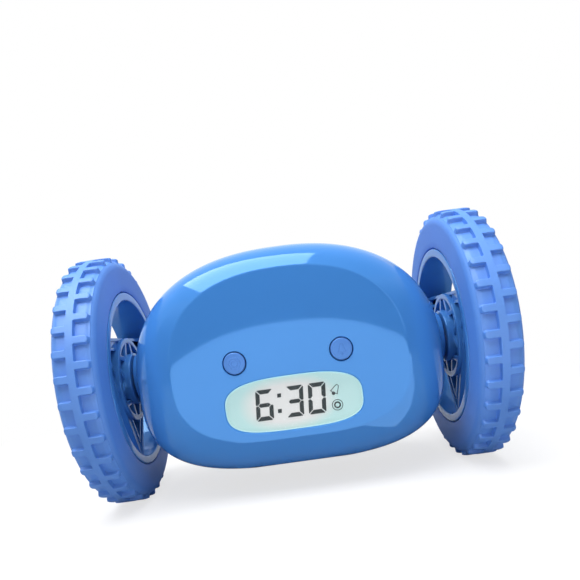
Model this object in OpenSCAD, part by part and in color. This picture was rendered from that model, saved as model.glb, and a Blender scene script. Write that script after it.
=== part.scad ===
// Runaway alarm clock: a bun shaped body slung between two rubber tyred wheels.
// +X runs along the wheel axis, the face looks to -Y and +Z is up.
// The origin is on the ground, under the middle of the wheel axis.

/* [Body] */
// Width of the body between the wheels
body_w = 105.2; // [100:0.2:120]
// Height of the body above the wheel axis
body_top = 38.2; // [36:0.1:42]
// Depth of the body below the wheel axis
body_drop = 36.2; // [35.8:0.1:38]
// How far the widest level lies below the wheel axis
waist_drop = 3.4; // [1:0.1:6]
// Distance from the split plane to the crease round the face
front_depth = 30.9; // [30.5:0.1:34]
// Distance from the split plane to the rear rim
rear_depth = 32.4; // [32:0.1:36]
// Roundness exponent of the upper outline
top_roundness = 2.33; // [2:0.01:3]
// Roundness exponent of the lower outline
bottom_roundness = 3.13; // [2.6:0.01:3.6]
// Roundness exponent of the rim from the split plane to the face
front_roundness = 3.6; // [3:0.1:4.2]
// How much the rim falls away from the face, as a share of its depth
rim_fall = 0.16; // [0.12:0.01:0.2]
// Roundness exponent of the edge from the split plane to the rear rim
edge_roundness = 2.3; // [2:0.05:3]
// Thickness of the shell walls
wall = 2.2; // [1.6:0.1:2.6]

/* [Face and rear panel] */
// Size of the face as a share of the body outline
face_scale = 0.715; // [0.69:0.005:0.74]
// How far the middle of the face lies above the middle of the waist outline
face_rise = 2.75; // [1:0.05:4]
// Crown of the face above its edge
face_crown = 1.3; // [0.5:0.1:1.8]
// Thickness of a panel at its edge
panel_t = 1.5; // [1.2:0.1:2]
// Size of the rear panel as a share of the body outline
rear_scale = 0.6; // [0.56:0.01:0.64]
// Size of the rear rim crest as a share of the body outline
rear_crest_scale = 0.68; // [0.66:0.01:0.72]
// Gap between a panel and its shell
panel_gap = 0.1; // [0.05:0.05:0.2]

/* [Display] */
// Width of the display window
window_w = 43.3; // [40:0.1:44]
// Height of the display window
window_h = 17.2; // [15:0.1:18]
// Middle of the display window below the wheel axis
window_drop = 12.9; // [12:0.1:14]
// Height of a digit
digit_h = 9.8; // [8:0.1:12]
// Width of a digit
digit_w = 4.6; // [3.5:0.1:5]
// Width of a digit stroke
stroke_w = 1.15; // [0.8:0.05:1.3]

/* [Buttons] */
// Diameter of the two front buttons
button_d = 6.8; // [6:0.1:8]
// Distance between the middles of the two front buttons
button_pitch = 33.3; // [32:0.1:35]
// Height of the front buttons above the wheel axis
button_rise = 1.5; // [1:0.1:3]
// How far a button stands proud of its panel
button_proud = 0.6; // [0.4:0.1:1]
// Travel of a panel button
button_travel = 0.5; // [0.3:0.05:0.6]
// Gap round a button in its hole
button_gap = 0.3; // [0.2:0.05:0.4]
// Diameter of the four set buttons on the rear panel
set_button_d = 4.6; // [4:0.1:5]
// Pitch of the set buttons
set_button_pitch = 10; // [9:0.1:11]
// Width of the snooze button
snooze_w = 36; // [30:0.5:40]
// Depth of the snooze button from front to back
snooze_d = 14; // [12:0.5:15]
// Middle of the snooze button behind the split plane
snooze_back = 2; // [0:0.5:3]
// Travel of the snooze button
snooze_travel = 0.8; // [0.5:0.1:1]
// Gap round the snooze button
snooze_gap = 0.35; // [0.3:0.05:0.5]

/* [Wheels] */
// Diameter over the tread
wheel_d = 88; // [86:1:100]
// Width of a tyre
tyre_w = 13.6; // [12:0.1:16]
// Gap between the side of the body and a wheel
wheel_gap = 2.95; // [2.5:0.05:5]
// Diameter of the seat between rim and tyre
rim_d = 63.5; // [62:0.5:66]
// Thickness of the rim drum
drum_t = 3.1; // [2.5:0.1:4]
// Gap between the rim lip and the tyre sidewall
lip_gap = 0.35; // [0.2:0.05:0.5]
// Number of tread bars on each side of a tyre
tread_bars = 36; // [30:1:40]
// Width of a tread bar along the tread
bar_w = 2.4; // [1.8:0.1:3]
// Depth of the tread pockets
tread_depth = 1.4; // [1:0.1:1.8]
// Width of the rib in the middle of the tread
rib_w = 2.1; // [1.6:0.1:3]
// Distance from the wheel axis to the outside of a spoke bar
spoke_r = 15.3; // [15:0.1:16]
// Width of a hollow spoke bar
spoke_w = 4.4; // [3.6:0.1:5]
// Thickness of the thin walls inside a wheel
web_t = 1.1; // [0.9:0.1:1.4]
// Outside radius of the ring round the wheel boss
hub_ring_r = 14.2; // [13.8:0.1:14.6]
// Number of ribs between the boss and its ring
hub_ribs = 12; // [9:3:15]
// Diameter of the wheel cap
cap_d = 20; // [16:1:24]

/* [Drive] */
// Diameter of a wheel axle
axle_d = 4; // [3.5:0.1:4.2]
// Running clearance of a shaft in its bearing, on the radius
run_gap = 0.05; // [0.02:0.01:0.08]
// Outside diameter of a bearing bush
bush_d = 8; // [7:0.5:9]
// Diameter of the neck that carries the bush
neck_d = 18; // [16:0.5:20]
// Module of the output gears
drive_module = 0.6; // [0.55:0.01:0.6]
// Teeth on the gear fixed to the wheel axle
drive_teeth = 40; // [36:1:40]
// Teeth on a motor pinion and on the small end of an idler
pinion_teeth = 10; // [10:1:11]
// Module of the motor gears
motor_module = 0.5; // [0.45:0.01:0.5]
// Teeth on the large end of an idler
idler_teeth = 36; // [32:1:36]
// Face width of the gears
gear_w = 2.8; // [2.2:0.1:3]
// Diameter of an idler pin
pin_d = 2; // [1.6:0.1:2.2]
// Length of a motor can
motor_l = 24; // [20:0.5:25]
// Diameter of a motor can over its round sides
motor_d = 19; // [18:0.5:20]
// Height of a motor can over its flats
motor_h = 15; // [13:0.5:15]
// Diameter of a motor shaft
shaft_d = 2; // [1.6:0.1:2.2]
// Thickness of a gear case plate
plate_t = 1.4; // [1.2:0.1:1.6]

/* [Batteries] */
// Diameter of a cell
cell_d = 10.5; // [10:0.1:10.5]
// Length of a cell without its button
cell_l = 43.3; // [43:0.1:43.5]
// Pitch of the cells
cell_pitch = 11.2; // [11:0.1:11.4]
// Thickness of the battery tray walls
tray_t = 1.4; // [1:0.1:1.6]
// Gap round the battery door
door_gap = 0.3; // [0.2:0.05:0.5]

/* [Electronics] */
// Thickness of the circuit boards
board_t = 1.4; // [1:0.1:1.6]
// Diameter of the loudspeaker
speaker_d = 28; // [24:0.5:28]
// Diameter of the sound holes
sound_hole_d = 1.6; // [1.2:0.1:2]

/* [Hidden] */

blue = "#4f93dc";
dark_blue = "#2f6ea8";
tyre_blue = "#5a8fe0";
white = "#e8eaea";
green = "#2f7d4f";
steel = "#b8bcc2";
brass = "#c9a04a";
black = "#26282c";

$fn = 64;
eps = 0.02;
axle_h = wheel_d / 2;
half_w = body_w / 2;
top_b = body_top + waist_drop;
bottom_b = body_drop - waist_drop;
ring_n = 64;
edge_n = 9;

// Planes of the face, measured from the split plane.
crease_y = front_depth;
seat_y = crease_y - panel_t;
rear_crease_y = rear_depth - 0.8;
rear_seat_y = rear_crease_y - panel_t;
ledge = 0.024;
ledge_t = 1.6;

// Middle height of the outline that is rho times as large as the waist outline.
function middle_z(rho) = axle_h - waist_drop + face_rise * (1 - rho) / (1 - face_scale);

// Radius of a rounded outline at angle t, with half width a, half height b, exponent n.
function round_r(t, a, b, n) =
  1 / pow(pow(abs(cos(t)) / a, n) + pow(abs(sin(t)) / b, n), 1 / n);

function outline_r(t, inset) = sin(t) >= 0
  ? round_r(t, half_w - inset, top_b - inset, top_roundness)
  : round_r(t, half_w - inset, bottom_b - inset, bottom_roundness);

// One ring of the body outline, as [x, y, z] points at depth y.
function body_ring(rho, y, inset) = [
  for (i = [0 : ring_n - 1])
    let (t = 360 * i / ring_n, r = rho * outline_r(t, inset))
    [r * cos(t), y, middle_z(rho) + r * sin(t)]
];

// Share of the body outline on which the point x, z lies, for a middle at height mid.
function gauge(x, z, mid) = let (n = z >= mid ? top_roundness : bottom_roundness,
    b = z >= mid ? top_b : bottom_b)
  pow(pow(abs(x) / half_w, n) + pow(abs(z - mid) / b, n), 1 / n);

// Rounded edge from the split plane, rho 1, to a crest at rho crest and the given depth.
function edge_profile(crest, depth, inset) = [
  for (i = [0 : edge_n])
    let (p = 90 * i / edge_n)
    [crest + (1 - crest) * pow(cos(p), 2 / edge_roundness),
     depth * pow(sin(p), 2 / edge_roundness), inset]
];

// Depth of the rim at the share t of its way from the face, t 0, to the split plane, t 1.
function rim_y(t, depth) = depth * (1 - rim_fall * t)
  * pow(max(0, 1 - pow(t, front_roundness)), 1 / front_roundness);

// Rim from the split plane to the edge of the face at rho inner, the face towards -Y.
function rim_profile(inner, depth, inset) = [
  for (i = [0 : edge_n])
    let (t = pow(cos(90 * i / edge_n), 2 / front_roundness))
    [inner + (1 - inner) * t, -rim_y(t, depth), inset]
];

// Share t at which the rim has come back to the depth y, found by halving the interval.
function rim_t(y, lo = 0, hi = 1, k = 0) = let (mid = (lo + hi) / 2)
  k == 24 ? mid
  : rim_y(mid, front_depth) > y ? rim_t(y, mid, hi, k + 1) : rim_t(y, lo, mid, k + 1);

function reversed(list) = [for (i = [len(list) - 1 : -1 : 0]) list[i]];

// Share of the outline that the body keeps at distance y from the split plane.
function body_rho(y) = y < 0
  ? face_scale + (1 - face_scale) * rim_t(-y)
  : rear_crest_scale + (1 - rear_crest_scale)
    * pow(max(0, 1 - pow(min(1, y / rear_depth), edge_roundness)), 1 / edge_roundness);

// Height of the body's top and bottom surfaces over the point x, y.
function top_z(x, y) = let (rho = body_rho(y))
  middle_z(rho) + top_b * rho
    * pow(max(0, 1 - pow(abs(x) / (half_w * rho), top_roundness)), 1 / top_roundness);
function bottom_z(x, y) = let (rho = body_rho(y))
  middle_z(rho) - bottom_b * rho
    * pow(max(0, 1 - pow(abs(x) / (half_w * rho), bottom_roundness)), 1 / bottom_roundness);

// Closed loop of rings: a shell whose cross section is the list of [rho, y, inset].
module ring_loop(profile) {
  m = len(profile);
  points = [for (p = profile) each body_ring(p[0], p[1], p[2])];
  faces = [
    for (j = [0 : m - 1]) for (i = [0 : ring_n - 1])
      let (a = j * ring_n, b = ((j + 1) % m) * ring_n, k = (i + 1) % ring_n)
      each [[a + i, b + i, b + k], [a + i, b + k, a + k]]
  ];
  polyhedron(points = points, faces = faces);
}

// A plate over the outline points, in plan coordinates u, v, with rings drawn in to
// the middle c. upper and lower give the heights, first at the middle, then ring by ring.
module crowned_plate(outline, c, rings, upper, lower) {
  n = len(outline);
  plan = concat([c], [for (k = [1 : rings]) each [for (p = outline) c + (p - c) * k / rings]]);
  count = len(plan);
  points = concat(
    [for (i = [0 : count - 1]) [plan[i][0], plan[i][1], upper[i]]],
    [for (i = [0 : count - 1]) [plan[i][0], plan[i][1], lower[i]]]);
  middle_faces = [for (i = [0 : n - 1]) let (k = (i + 1) % n) [0, 1 + k, 1 + i]];
  ring_faces = [
    for (r = [0 : rings - 2]) for (i = [0 : n - 1])
      let (a = 1 + r * n, b = a + n, k = (i + 1) % n)
      each [[a + i, a + k, b + k], [a + i, b + k, b + i]]
  ];
  last = 1 + (rings - 1) * n;
  side_faces = [
    for (i = [0 : n - 1])
      let (k = (i + 1) % n)
      each [[last + i, last + k, count + last + k], [last + i, count + last + k, count + last + i]]
  ];
  above = concat(middle_faces, ring_faces);
  below = [for (f = above) [count + f[0], count + f[2], count + f[1]]];
  polyhedron(points = points, faces = concat(above, side_faces, below));
}

// Plan points of all rings of a crowned plate, for working out its heights.
function plan_points(outline, c, rings) =
  concat([c], [for (k = [1 : rings]) each [for (p = outline) c + (p - c) * k / rings]]);

// Rounded rectangle with half sizes hx, hy and corner radius r.
function round_rect(hx, hy, r, per_corner) = [
  for (q = [0 : 3]) for (i = [0 : per_corner])
    let (t = 90 * q + 90 * i / per_corner,
         sx = (q == 0 || q == 3) ? 1 : -1, sy = q < 2 ? 1 : -1)
    [sx * (hx - r) + r * cos(t), sy * (hy - r) + r * sin(t)]
];

// Turns a solid drawn on a plan of x and z, with its height towards the face, upright.
module upright() {
  rotate([90, 0, 0]) children();
}

// Turns a solid drawn on a plan of y and z, with its height along the wheel axis.
module along_x() {
  rotate([90, 0, 90]) children();
}

// Draws children on the right (side 1) or mirrored to the left (side -1).
module on_side(side) {
  mirror([side < 0 ? 1 : 0, 0, 0]) children();
}

// Cylinder along X from x0 to x1 about the point y, z.
module rod_x(x0, x1, y, z, r) {
  translate([x0, y, z]) rotate([0, 90, 0]) cylinder(h = x1 - x0, r = r);
}

// Cylinder along Y from y0 to y1 about the point x, z.
module rod_y(y0, y1, x, z, r) {
  translate([x, y1, z]) rotate([90, 0, 0]) cylinder(h = y1 - y0, r = r);
}

// Box between two corners.
module box(low, high) {
  translate(low) cube(high - low);
}

// ---------------------------------------------------------------- wheel places

wheel_x0 = half_w + wheel_gap;
wheel_x1 = wheel_x0 + tyre_w;
wheel_xm = wheel_x0 + tyre_w / 2;
rim_r = rim_d / 2;
drum_r = rim_r - drum_t;
tread_r = wheel_d / 2;
floor_r = tread_r - tread_depth;
web_x0 = wheel_x1 - 3.2;
web_x1 = web_x0 + 1.8;
spoke_x0 = wheel_x0 + 3.6;
hub_ring_x0 = wheel_x0 + 2.4;
hub_boss_x0 = wheel_x0 + 0.6;
hub_boss_r = 5.4;
hub_ring_t = 1.1;
cap_x0 = web_x1;
cap_x1 = wheel_x1;

// ---------------------------------------------------------------- drive places

neck_len = wheel_gap - 0.25;
neck_x1 = half_w + neck_len;
neck_in = 4.6;
neck_x0 = half_w - neck_in;
bush_x0 = neck_x0 - 0.2;
bush_x1 = neck_x1 + 0.25;
axle_r = axle_d / 2;
bush_r = bush_d / 2;
case_x1 = bush_x0 - 0.1;
outer_plate_x0 = case_x1 - plate_t;
gear2_x0 = outer_plate_x0 - 0.5 - gear_w;
gear1_x0 = gear2_x0 - 0.6 - gear_w;
inner_plate_x0 = gear1_x0 - 0.5 - plate_t;
motor_x1 = inner_plate_x0;
motor_x0 = motor_x1 - motor_l;
axle_x0 = inner_plate_x0;
drive_gear_r = drive_module * drive_teeth / 2;
idler_dist = drive_module * (drive_teeth + pinion_teeth) / 2;
idler_angle = -30;
idler_y = idler_dist * cos(idler_angle);
idler_z = axle_h + idler_dist * sin(idler_angle);
motor_dist = motor_module * (idler_teeth + pinion_teeth) / 2;
motor_angle = 192;
motor_y = idler_y + motor_dist * cos(motor_angle);
motor_z = idler_z + motor_dist * sin(motor_angle);
pin_r = pin_d / 2;
shaft_r = shaft_d / 2;
case_y0 = -7.5;
case_y1 = idler_y + 4;
case_z0 = idler_z - 4.5;
case_z1 = axle_h + 5;
post_r = 1.5;
post_y = -(drive_gear_r + drive_module + post_r + 0.7);

// ---------------------------------------------------------------- battery places

door_t = 1.8;
cell_r = cell_d / 2;
nub_l = 1.2;
cell_nub_r = 1.9;
door_space = 3.6;
tongue_drop = 2.7;
cell_z = axle_h - body_drop + door_t + door_space + cell_r;
cell_half = (cell_l + nub_l) / 2;
contact_t = 0.4;
contact_half = 4;
bay_x = 1.5 * cell_pitch + cell_r + 0.35;
bay_half = cell_half + contact_t;
tray_x = bay_x + tray_t;
tray_half = bay_half + tray_t;
// The bay's front wall keeps its distance behind the back light, whatever the cells' length.
tray_gap = 1.15;
glass_gap = 0.1;
glass_t = 1.1;
light_t = 3;
light_back_y = -seat_y + glass_gap + glass_t + light_t;
bay_y = light_back_y + tray_gap + tray_half;
tray_z0 = cell_z - 1.6;
cell_gap = 0.2;
end_space = 2.5;
tray_z1 = cell_z + cell_r + cell_gap + 0.1 + tray_t;
door_hx = bay_x;
door_hy = bay_half;
door_r = 3;
tongue_w = 2;
hook_l = 1.4;

// ---------------------------------------------------------------- front places

button_r = button_d / 2;
button_z = axle_h + button_rise;
window_z = axle_h - window_drop;
// Room for the display between the face panel and the circuit board.
board_space = 7.9;
board_y0 = -(seat_y - board_space);
board_hx = 29;
board_z0 = tray_z1 + 0.4;
board_z1 = axle_h + 16;
boss_x = 25.5;
boss_z_low = axle_h - 16;
boss_z_high = axle_h + 12.5;
switch_h = 3.4;
nub_h = 0.8;
switch_nub_r = 1.6;
flange_t = 0.8;
flange_gap = 0.1;
stem_r = 1.5;
carrier_t = 0.8;
carrier_leg = 2;

// ---------------------------------------------------------------- rear places

speaker_rise = 9;
speaker_z = axle_h + speaker_rise;
set_drop = 12;
set_z = axle_h - set_drop;
rear_board_space = 4.6;
rear_board_h = 10;
rear_board_y1 = rear_seat_y - rear_board_space;
rear_board_y0 = rear_board_y1 - board_t;
set_r = set_button_d / 2;
speaker_r = speaker_d / 2;

// Long screws that hold the two shells together: x, and height above the wheel axis.
screw_places = [[36, 17], [-36, 17], [36, -23], [-36, -23]];
screw_r = 1.1;
screw_boss_r = 3;
screw_head_r = 2.4;
screw_head_y = 20;
screw_end_y = -12;

// ================================================================ shells

function front_profile() = concat(
  rim_profile(face_scale, front_depth, 0),
  [[face_scale, -seat_y, 0],
   [face_scale - ledge, -seat_y, 0],
   [face_scale - ledge, -(seat_y - ledge_t), 0]],
  reversed(rim_profile(face_scale + ledge, seat_y - ledge_t, wall)));

function rear_profile() = concat(
  edge_profile(rear_crest_scale, rear_depth, 0),
  [[rear_crest_scale - 0.03, rear_depth - 0.12, 0],
   [rear_scale + 0.015, rear_depth - 0.4, 0],
   [rear_scale, rear_crease_y, 0],
   [rear_scale, rear_seat_y, 0],
   [rear_scale - ledge, rear_seat_y, 0],
   [rear_scale - ledge, rear_seat_y - ledge_t, 0]],
  reversed(edge_profile(rear_crest_scale, rear_depth - wall - 0.2, wall)));

// Half of the bearing neck on one side, in the rear half of the body (back = 1)
// or in the front half (back = -1).
module half_neck(side, back) {
  on_side(side) mirror([0, back < 0 ? 1 : 0, 0])
    translate([0, 0, axle_h]) rotate([0, 90, 0])
      rotate_extrude(angle = 180)
        polygon([[bush_r, neck_x0], [neck_d / 2, neck_x0], [neck_d / 2, neck_x1 - 0.8],
                 [neck_d / 2 - 0.8, neck_x1], [bush_r, neck_x1]]);
}

// Space of the bearing neck, cut out of the shell wall before the neck goes in.
module neck_hole(side) {
  on_side(side) rod_x(neck_x0 - eps, half_w + 1, 0, axle_h, bush_r);
}

module snooze_outline_cut() {
  translate([0, snooze_back, axle_h + body_top - 12])
    linear_extrude(20)
      polygon(round_rect(snooze_w / 2 + snooze_gap, snooze_d / 2 + snooze_gap,
        snooze_d / 2 + snooze_gap - eps, 8));
}

module door_cut() {
  translate([0, bay_y, axle_h - body_drop - 1])
    linear_extrude(door_t + door_space + 2.4)
      polygon(round_rect(door_hx, door_hy, door_r, 5));
}

module front_shell() {
  color(blue) difference() {
    union() {
      difference() {
        ring_loop(front_profile());
        snooze_outline_cut();
        door_cut();
        neck_hole(1);
        neck_hole(-1);
      }
      half_neck(1, -1);
      half_neck(-1, -1);
      for (p = screw_places)
        rod_y(front_boss_y(p), 0, p[0], axle_h + p[1], screw_boss_r);
    }
    for (p = screw_places)
      rod_y(screw_end_y, eps, p[0], axle_h + p[1], screw_r);
  }
}

// Share of the way from the face or rear crest to the waist at which a screw stands, and the
// depth at which its boss ends inside the shell wall.
function rim_share(p, inner) =
  max(0, gauge(p[0], axle_h + p[1], middle_z(inner)) - inner) / (1 - inner);
function front_boss_y(p) = -rim_y(rim_share(p, face_scale), front_depth) + wall + 0.6;
function rear_boss_y(p) = -wall - 0.2 + rear_depth
  * pow(max(0, 1 - pow(rim_share(p, rear_crest_scale), edge_roundness)), 1 / edge_roundness);

module rear_shell() {
  color(blue) difference() {
    union() {
      difference() {
        ring_loop(reversed(rear_profile()));
        snooze_outline_cut();
        door_cut();
        neck_hole(1);
        neck_hole(-1);
      }
      half_neck(1, 1);
      half_neck(-1, 1);
      for (p = screw_places)
        rod_y(0, rear_boss_y(p), p[0], axle_h + p[1], screw_boss_r + 0.8);
      for (x = [-snooze_bracket_x, snooze_bracket_x]) snooze_bracket(x);
    }
    for (p = screw_places) {
      rod_y(-eps, screw_head_y, p[0], axle_h + p[1], screw_r + 0.2);
      rod_y(screw_head_y, rear_depth + 1, p[0], axle_h + p[1], screw_head_r + 0.3);
    }
  }
}

// Brackets under the roof of the rear shell that carry the snooze board.
snooze_board_drop = 13.5;
snooze_board_z = axle_h + body_top - snooze_board_drop;
snooze_bracket_x = 24;
module snooze_bracket(x) {
  box([x - 1.2, 0.5, snooze_board_z - 2],
      [x + 1.2, 16, top_z(x, 16) - wall / 2]);
}

// ================================================================ panels

face_middle = middle_z(face_scale);

// Height of the face surface, towards the viewer, over the point x, z.
function face_h(x, z) =
  crease_y + face_crown * (1 - pow(gauge(x, z, face_middle) / face_scale, 2));

function face_outline(rho) = [
  for (i = [0 : ring_n - 1])
    let (t = 360 * i / ring_n, r = rho * outline_r(t, 0) - panel_gap)
    [r * cos(t), face_middle + r * sin(t)]
];

// Window outline, a rounded form flatter above than below.
function window_outline(grow) = [
  for (i = [0 : 47])
    let (t = 360 * i / 48,
         r = round_r(t, window_w / 2 + grow, window_h / 2 + grow, sin(t) >= 0 ? 2.86 : 3.37))
    [r * cos(t), window_z + r * sin(t)]
];

window_gap = 0.06;

module face_panel() {
  outline = face_outline(face_scale);
  plan = plan_points(outline, [0, face_middle], 6);
  color(blue) difference() {
    union() {
      upright() crowned_plate(outline, [0, face_middle], 6,
        [for (p = plan) face_h(p[0], p[1])], [for (p = plan) seat_y]);
      for (x = [-boss_x, boss_x]) for (z = [boss_z_low, boss_z_high])
        rod_y(-seat_y - eps, board_y0, x, z, 2.2);
    }
    upright() linear_extrude(crease_y + face_crown + 1) polygon(window_outline(0));
    for (x = [-1, 1])
      rod_y(-crease_y - face_crown - 1, -seat_y + 1, x * button_pitch / 2, button_z, button_r + button_gap);
    for (x = [-boss_x, boss_x]) for (z = [boss_z_low, boss_z_high])
      rod_y(board_y0 - 5, board_y0 + eps, x, z, 0.9);
  }
}

module rear_panel() {
  mid = middle_z(rear_scale);
  outline = [
    for (i = [0 : ring_n - 1])
      let (t = 360 * i / ring_n, r = rear_scale * outline_r(t, 0) - panel_gap)
      [r * cos(t), mid + r * sin(t)]
  ];
  plan = plan_points(outline, [0, mid], 5);
  color(blue) difference() {
    union() {
      rotate([90, 0, 180]) crowned_plate(outline, [0, mid], 5,
        [for (p = plan) rear_crease_y
          + 0.7 * (1 - pow(gauge(p[0], p[1], mid) / rear_scale, 2))],
        [for (p = plan) rear_seat_y]);
      for (x = [-1, 1])
        rod_y(rear_board_y1, rear_seat_y + eps, x * 2.1 * set_button_pitch, set_z + 3, 1.6);
      speaker_ring();
    }
    for (k = [0 : 3])
      rod_y(rear_seat_y - 1, rear_depth + 2, set_x(k), set_z, set_r + button_gap);
    sound_holes();
  }
}

function set_x(k) = (k - 1.5) * set_button_pitch;

// Low collar on the inside of the rear panel that the loudspeaker sits in.
module speaker_ring() {
  translate([0, rear_seat_y + eps, speaker_z]) rotate([90, 0, 0])
    rotate_extrude()
      translate([speaker_r + 0.1, 0]) square([1.1, 2.5]);
}

// Rings of sound holes: one in the middle, then 6, 12 and 18.
module sound_holes() {
  for (ring = [0 : 3]) for (i = [0 : max(1, 6 * ring) - 1]) {
    a = 360 * i / max(1, 6 * ring) + 15 * ring;
    rod_y(rear_seat_y - 1, rear_depth + 2,
      3.1 * ring * cos(a), speaker_z + 3.1 * ring * sin(a), sound_hole_d / 2);
  }
}

// ================================================================ display

lens_t = 1;
module display_lens() {
  outline = window_outline(-window_gap);
  plan = plan_points(outline, [0, window_z], 4);
  color(white) upright() crowned_plate(outline, [0, window_z], 4,
    [for (p = plan) face_h(p[0], p[1]) - 0.15], [for (p = plan) face_h(p[0], p[1]) - 0.15 - lens_t]);
}

// Strokes of a seven stroke digit: 0 top, 1 upper right, 2 lower right, 3 bottom,
// 4 lower left, 5 upper left, 6 middle.
module stroke(k) {
  long = digit_h / 2 - stroke_w * 0.62;
  half = digit_w / 2 - stroke_w / 2;
  if (k == 0) translate([0, digit_h / 2 - stroke_w / 2]) stroke_bar(digit_w - stroke_w * 1.3, 0);
  if (k == 3) translate([0, -digit_h / 2 + stroke_w / 2]) stroke_bar(digit_w - stroke_w * 1.3, 0);
  if (k == 6) stroke_bar(digit_w - stroke_w * 1.5, 0);
  if (k == 1) translate([half, digit_h / 4 - stroke_w / 8]) stroke_bar(long, 90);
  if (k == 2) translate([half, -digit_h / 4 + stroke_w / 8]) stroke_bar(long, 90);
  if (k == 4) translate([-half, -digit_h / 4 + stroke_w / 8]) stroke_bar(long, 90);
  if (k == 5) translate([-half, digit_h / 4 - stroke_w / 8]) stroke_bar(long, 90);
}

// One stroke with pointed ends, its length along the given angle.
module stroke_bar(long, angle) {
  h = stroke_w / 2 - 0.03;
  rotate(angle)
    polygon([[-long / 2 - h / 2, 0], [-long / 2 + h / 2, h], [long / 2 - h / 2, h],
             [long / 2 + h / 2, 0], [long / 2 - h / 2, -h], [-long / 2 + h / 2, -h]]);
}

// Shown strokes of the digits, and where the middle of each digit is.
digits = [[[0, 2, 3, 4, 5, 6], -2 * digit_w], [[0, 1, 2, 3, 6], digit_w / 12],
          [[0, 1, 2, 3, 4, 5], digit_w * 1.54]];
segment_t = 0.2;
module display_segments() {
  color(black) translate([0, -seat_y - 0.1 + eps, window_z]) upright()
    linear_extrude(segment_t) {
      for (d = digits) translate([d[1], 0]) for (k = d[0]) stroke(k);
      for (z = [-1, 1]) translate([-digit_w, z * digit_h / 4])
        square(stroke_w * 1.13, center = true);
    }
}

module display_glass() {
  color(white) box([-window_w / 2, -seat_y + glass_gap, window_z - window_h / 2],
    [window_w / 2, -seat_y + glass_gap + glass_t, window_z + window_h / 2 + 0.6]);
}

module backlight() {
  color(white) box([-window_w / 2 + 0.5, light_back_y - light_t, window_z - window_h / 2],
    [window_w / 2 - 0.5, light_back_y, window_z + window_h / 2]);
}

module display_carrier() {
  y1 = light_back_y + carrier_t;
  color(white) {
    box([-window_w / 2, light_back_y, board_z0], [window_w / 2, y1, window_z + window_h / 2]);
    for (x = [-1, 1] * window_w / 3)
      box([x - carrier_leg, y1, board_z0 + carrier_leg], [x + carrier_leg, board_y0, window_z + 5]);
  }
}

// ================================================================ circuit boards

module main_board() {
  color(green) difference() {
    box([-board_hx, board_y0, board_z0], [board_hx, board_y0 + board_t, board_z1]);
    for (x = [-boss_x, boss_x]) for (z = [boss_z_low, boss_z_high])
      rod_y(board_y0 - 1, board_y0 + board_t + 1, x, z, 1.1);
  }
}

module board_chips() {
  y0 = board_y0 + board_t;
  color(black) {
    box([-6, y0, axle_h - 8], [6, y0 + 1.8, axle_h + 4]);
    box([-20, y0, axle_h - 2], [-13, y0 + 1.4, axle_h + 3]);
    box([12, y0, axle_h - 10], [17, y0 + 1.4, axle_h - 3]);
    rod_y(y0, y0 + 5, 17, axle_h + 8, 2.5);
  }
}

// A push switch that stands on a board at y, facing the given way, with a round nub.
module push_switch(x, y, z, way) {
  y1 = y + way * switch_h;
  box([x - 3, min(y, y1), z - 3], [x + 3, max(y, y1), z + 3]);
  y2 = y1 + way * nub_h;
  rod_y(min(y1, y2), max(y1, y2), x, z, switch_nub_r);
}

module front_switches() {
  color(black) for (x = [-1, 1]) push_switch(x * button_pitch / 2, board_y0, button_z, -1);
}

module board_screws() {
  color(steel) for (x = [-boss_x, boss_x]) for (z = [boss_z_low, boss_z_high]) {
    rod_y(board_y0 - 4.5, board_y0 + board_t, x, z, 0.9);
    rod_y(board_y0 + board_t, board_y0 + board_t + 1.2, x, z, 1.9);
  }
}

module rear_board() {
  color(green) box([-2.4 * set_button_pitch, rear_board_y0, set_z - rear_board_h / 2],
    [2.4 * set_button_pitch, rear_board_y1, set_z + rear_board_h / 2]);
}

rear_switch_h = 1.6;
rear_switch_half = 2.2;
module rear_switches() {
  color(black) for (k = [0 : 3]) {
    box([set_x(k) - rear_switch_half, rear_board_y1, set_z - rear_switch_half],
        [set_x(k) + rear_switch_half, rear_board_y1 + rear_switch_h, set_z + rear_switch_half]);
    rod_y(rear_board_y1 + rear_switch_h, rear_board_y1 + rear_switch_h + nub_h,
      set_x(k), set_z, switch_nub_r);
  }
}

// ================================================================ buttons

// A front button: round cap, flange behind the panel, stem down to its switch.
module front_button(side) {
  x = side * button_pitch / 2;
  front = -face_h(x, button_z) - button_proud;
  flange_y = -seat_y + flange_gap;
  stem_end = board_y0 - switch_h - nub_h - button_travel - 0.05;
  color(blue) {
    rod_y(front, flange_y + flange_t, x, button_z, button_r);
    rod_y(flange_y, flange_y + flange_t, x, button_z, button_r + 1);
    rod_y(flange_y, stem_end, x, button_z, stem_r);
  }
}

module wheel_button() { front_button(-1); }
module alarm_button() { front_button(1); }

// A set button on the rear panel.
module set_button(k) {
  flange_y = rear_seat_y - flange_gap;
  stem_end = rear_board_y1 + rear_switch_h + nub_h + button_travel + 0.05;
  color(white) {
    rod_y(flange_y - flange_t, rear_depth + 0.4, set_x(k), set_z, set_r);
    rod_y(flange_y - flange_t, flange_y, set_x(k), set_z, set_r + 0.8);
    rod_y(stem_end, flange_y, set_x(k), set_z, stem_r);
  }
}

module hour_button() { set_button(0); }
module minute_button() { set_button(1); }
module time_button() { set_button(2); }
module alarm_set_button() { set_button(3); }

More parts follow.
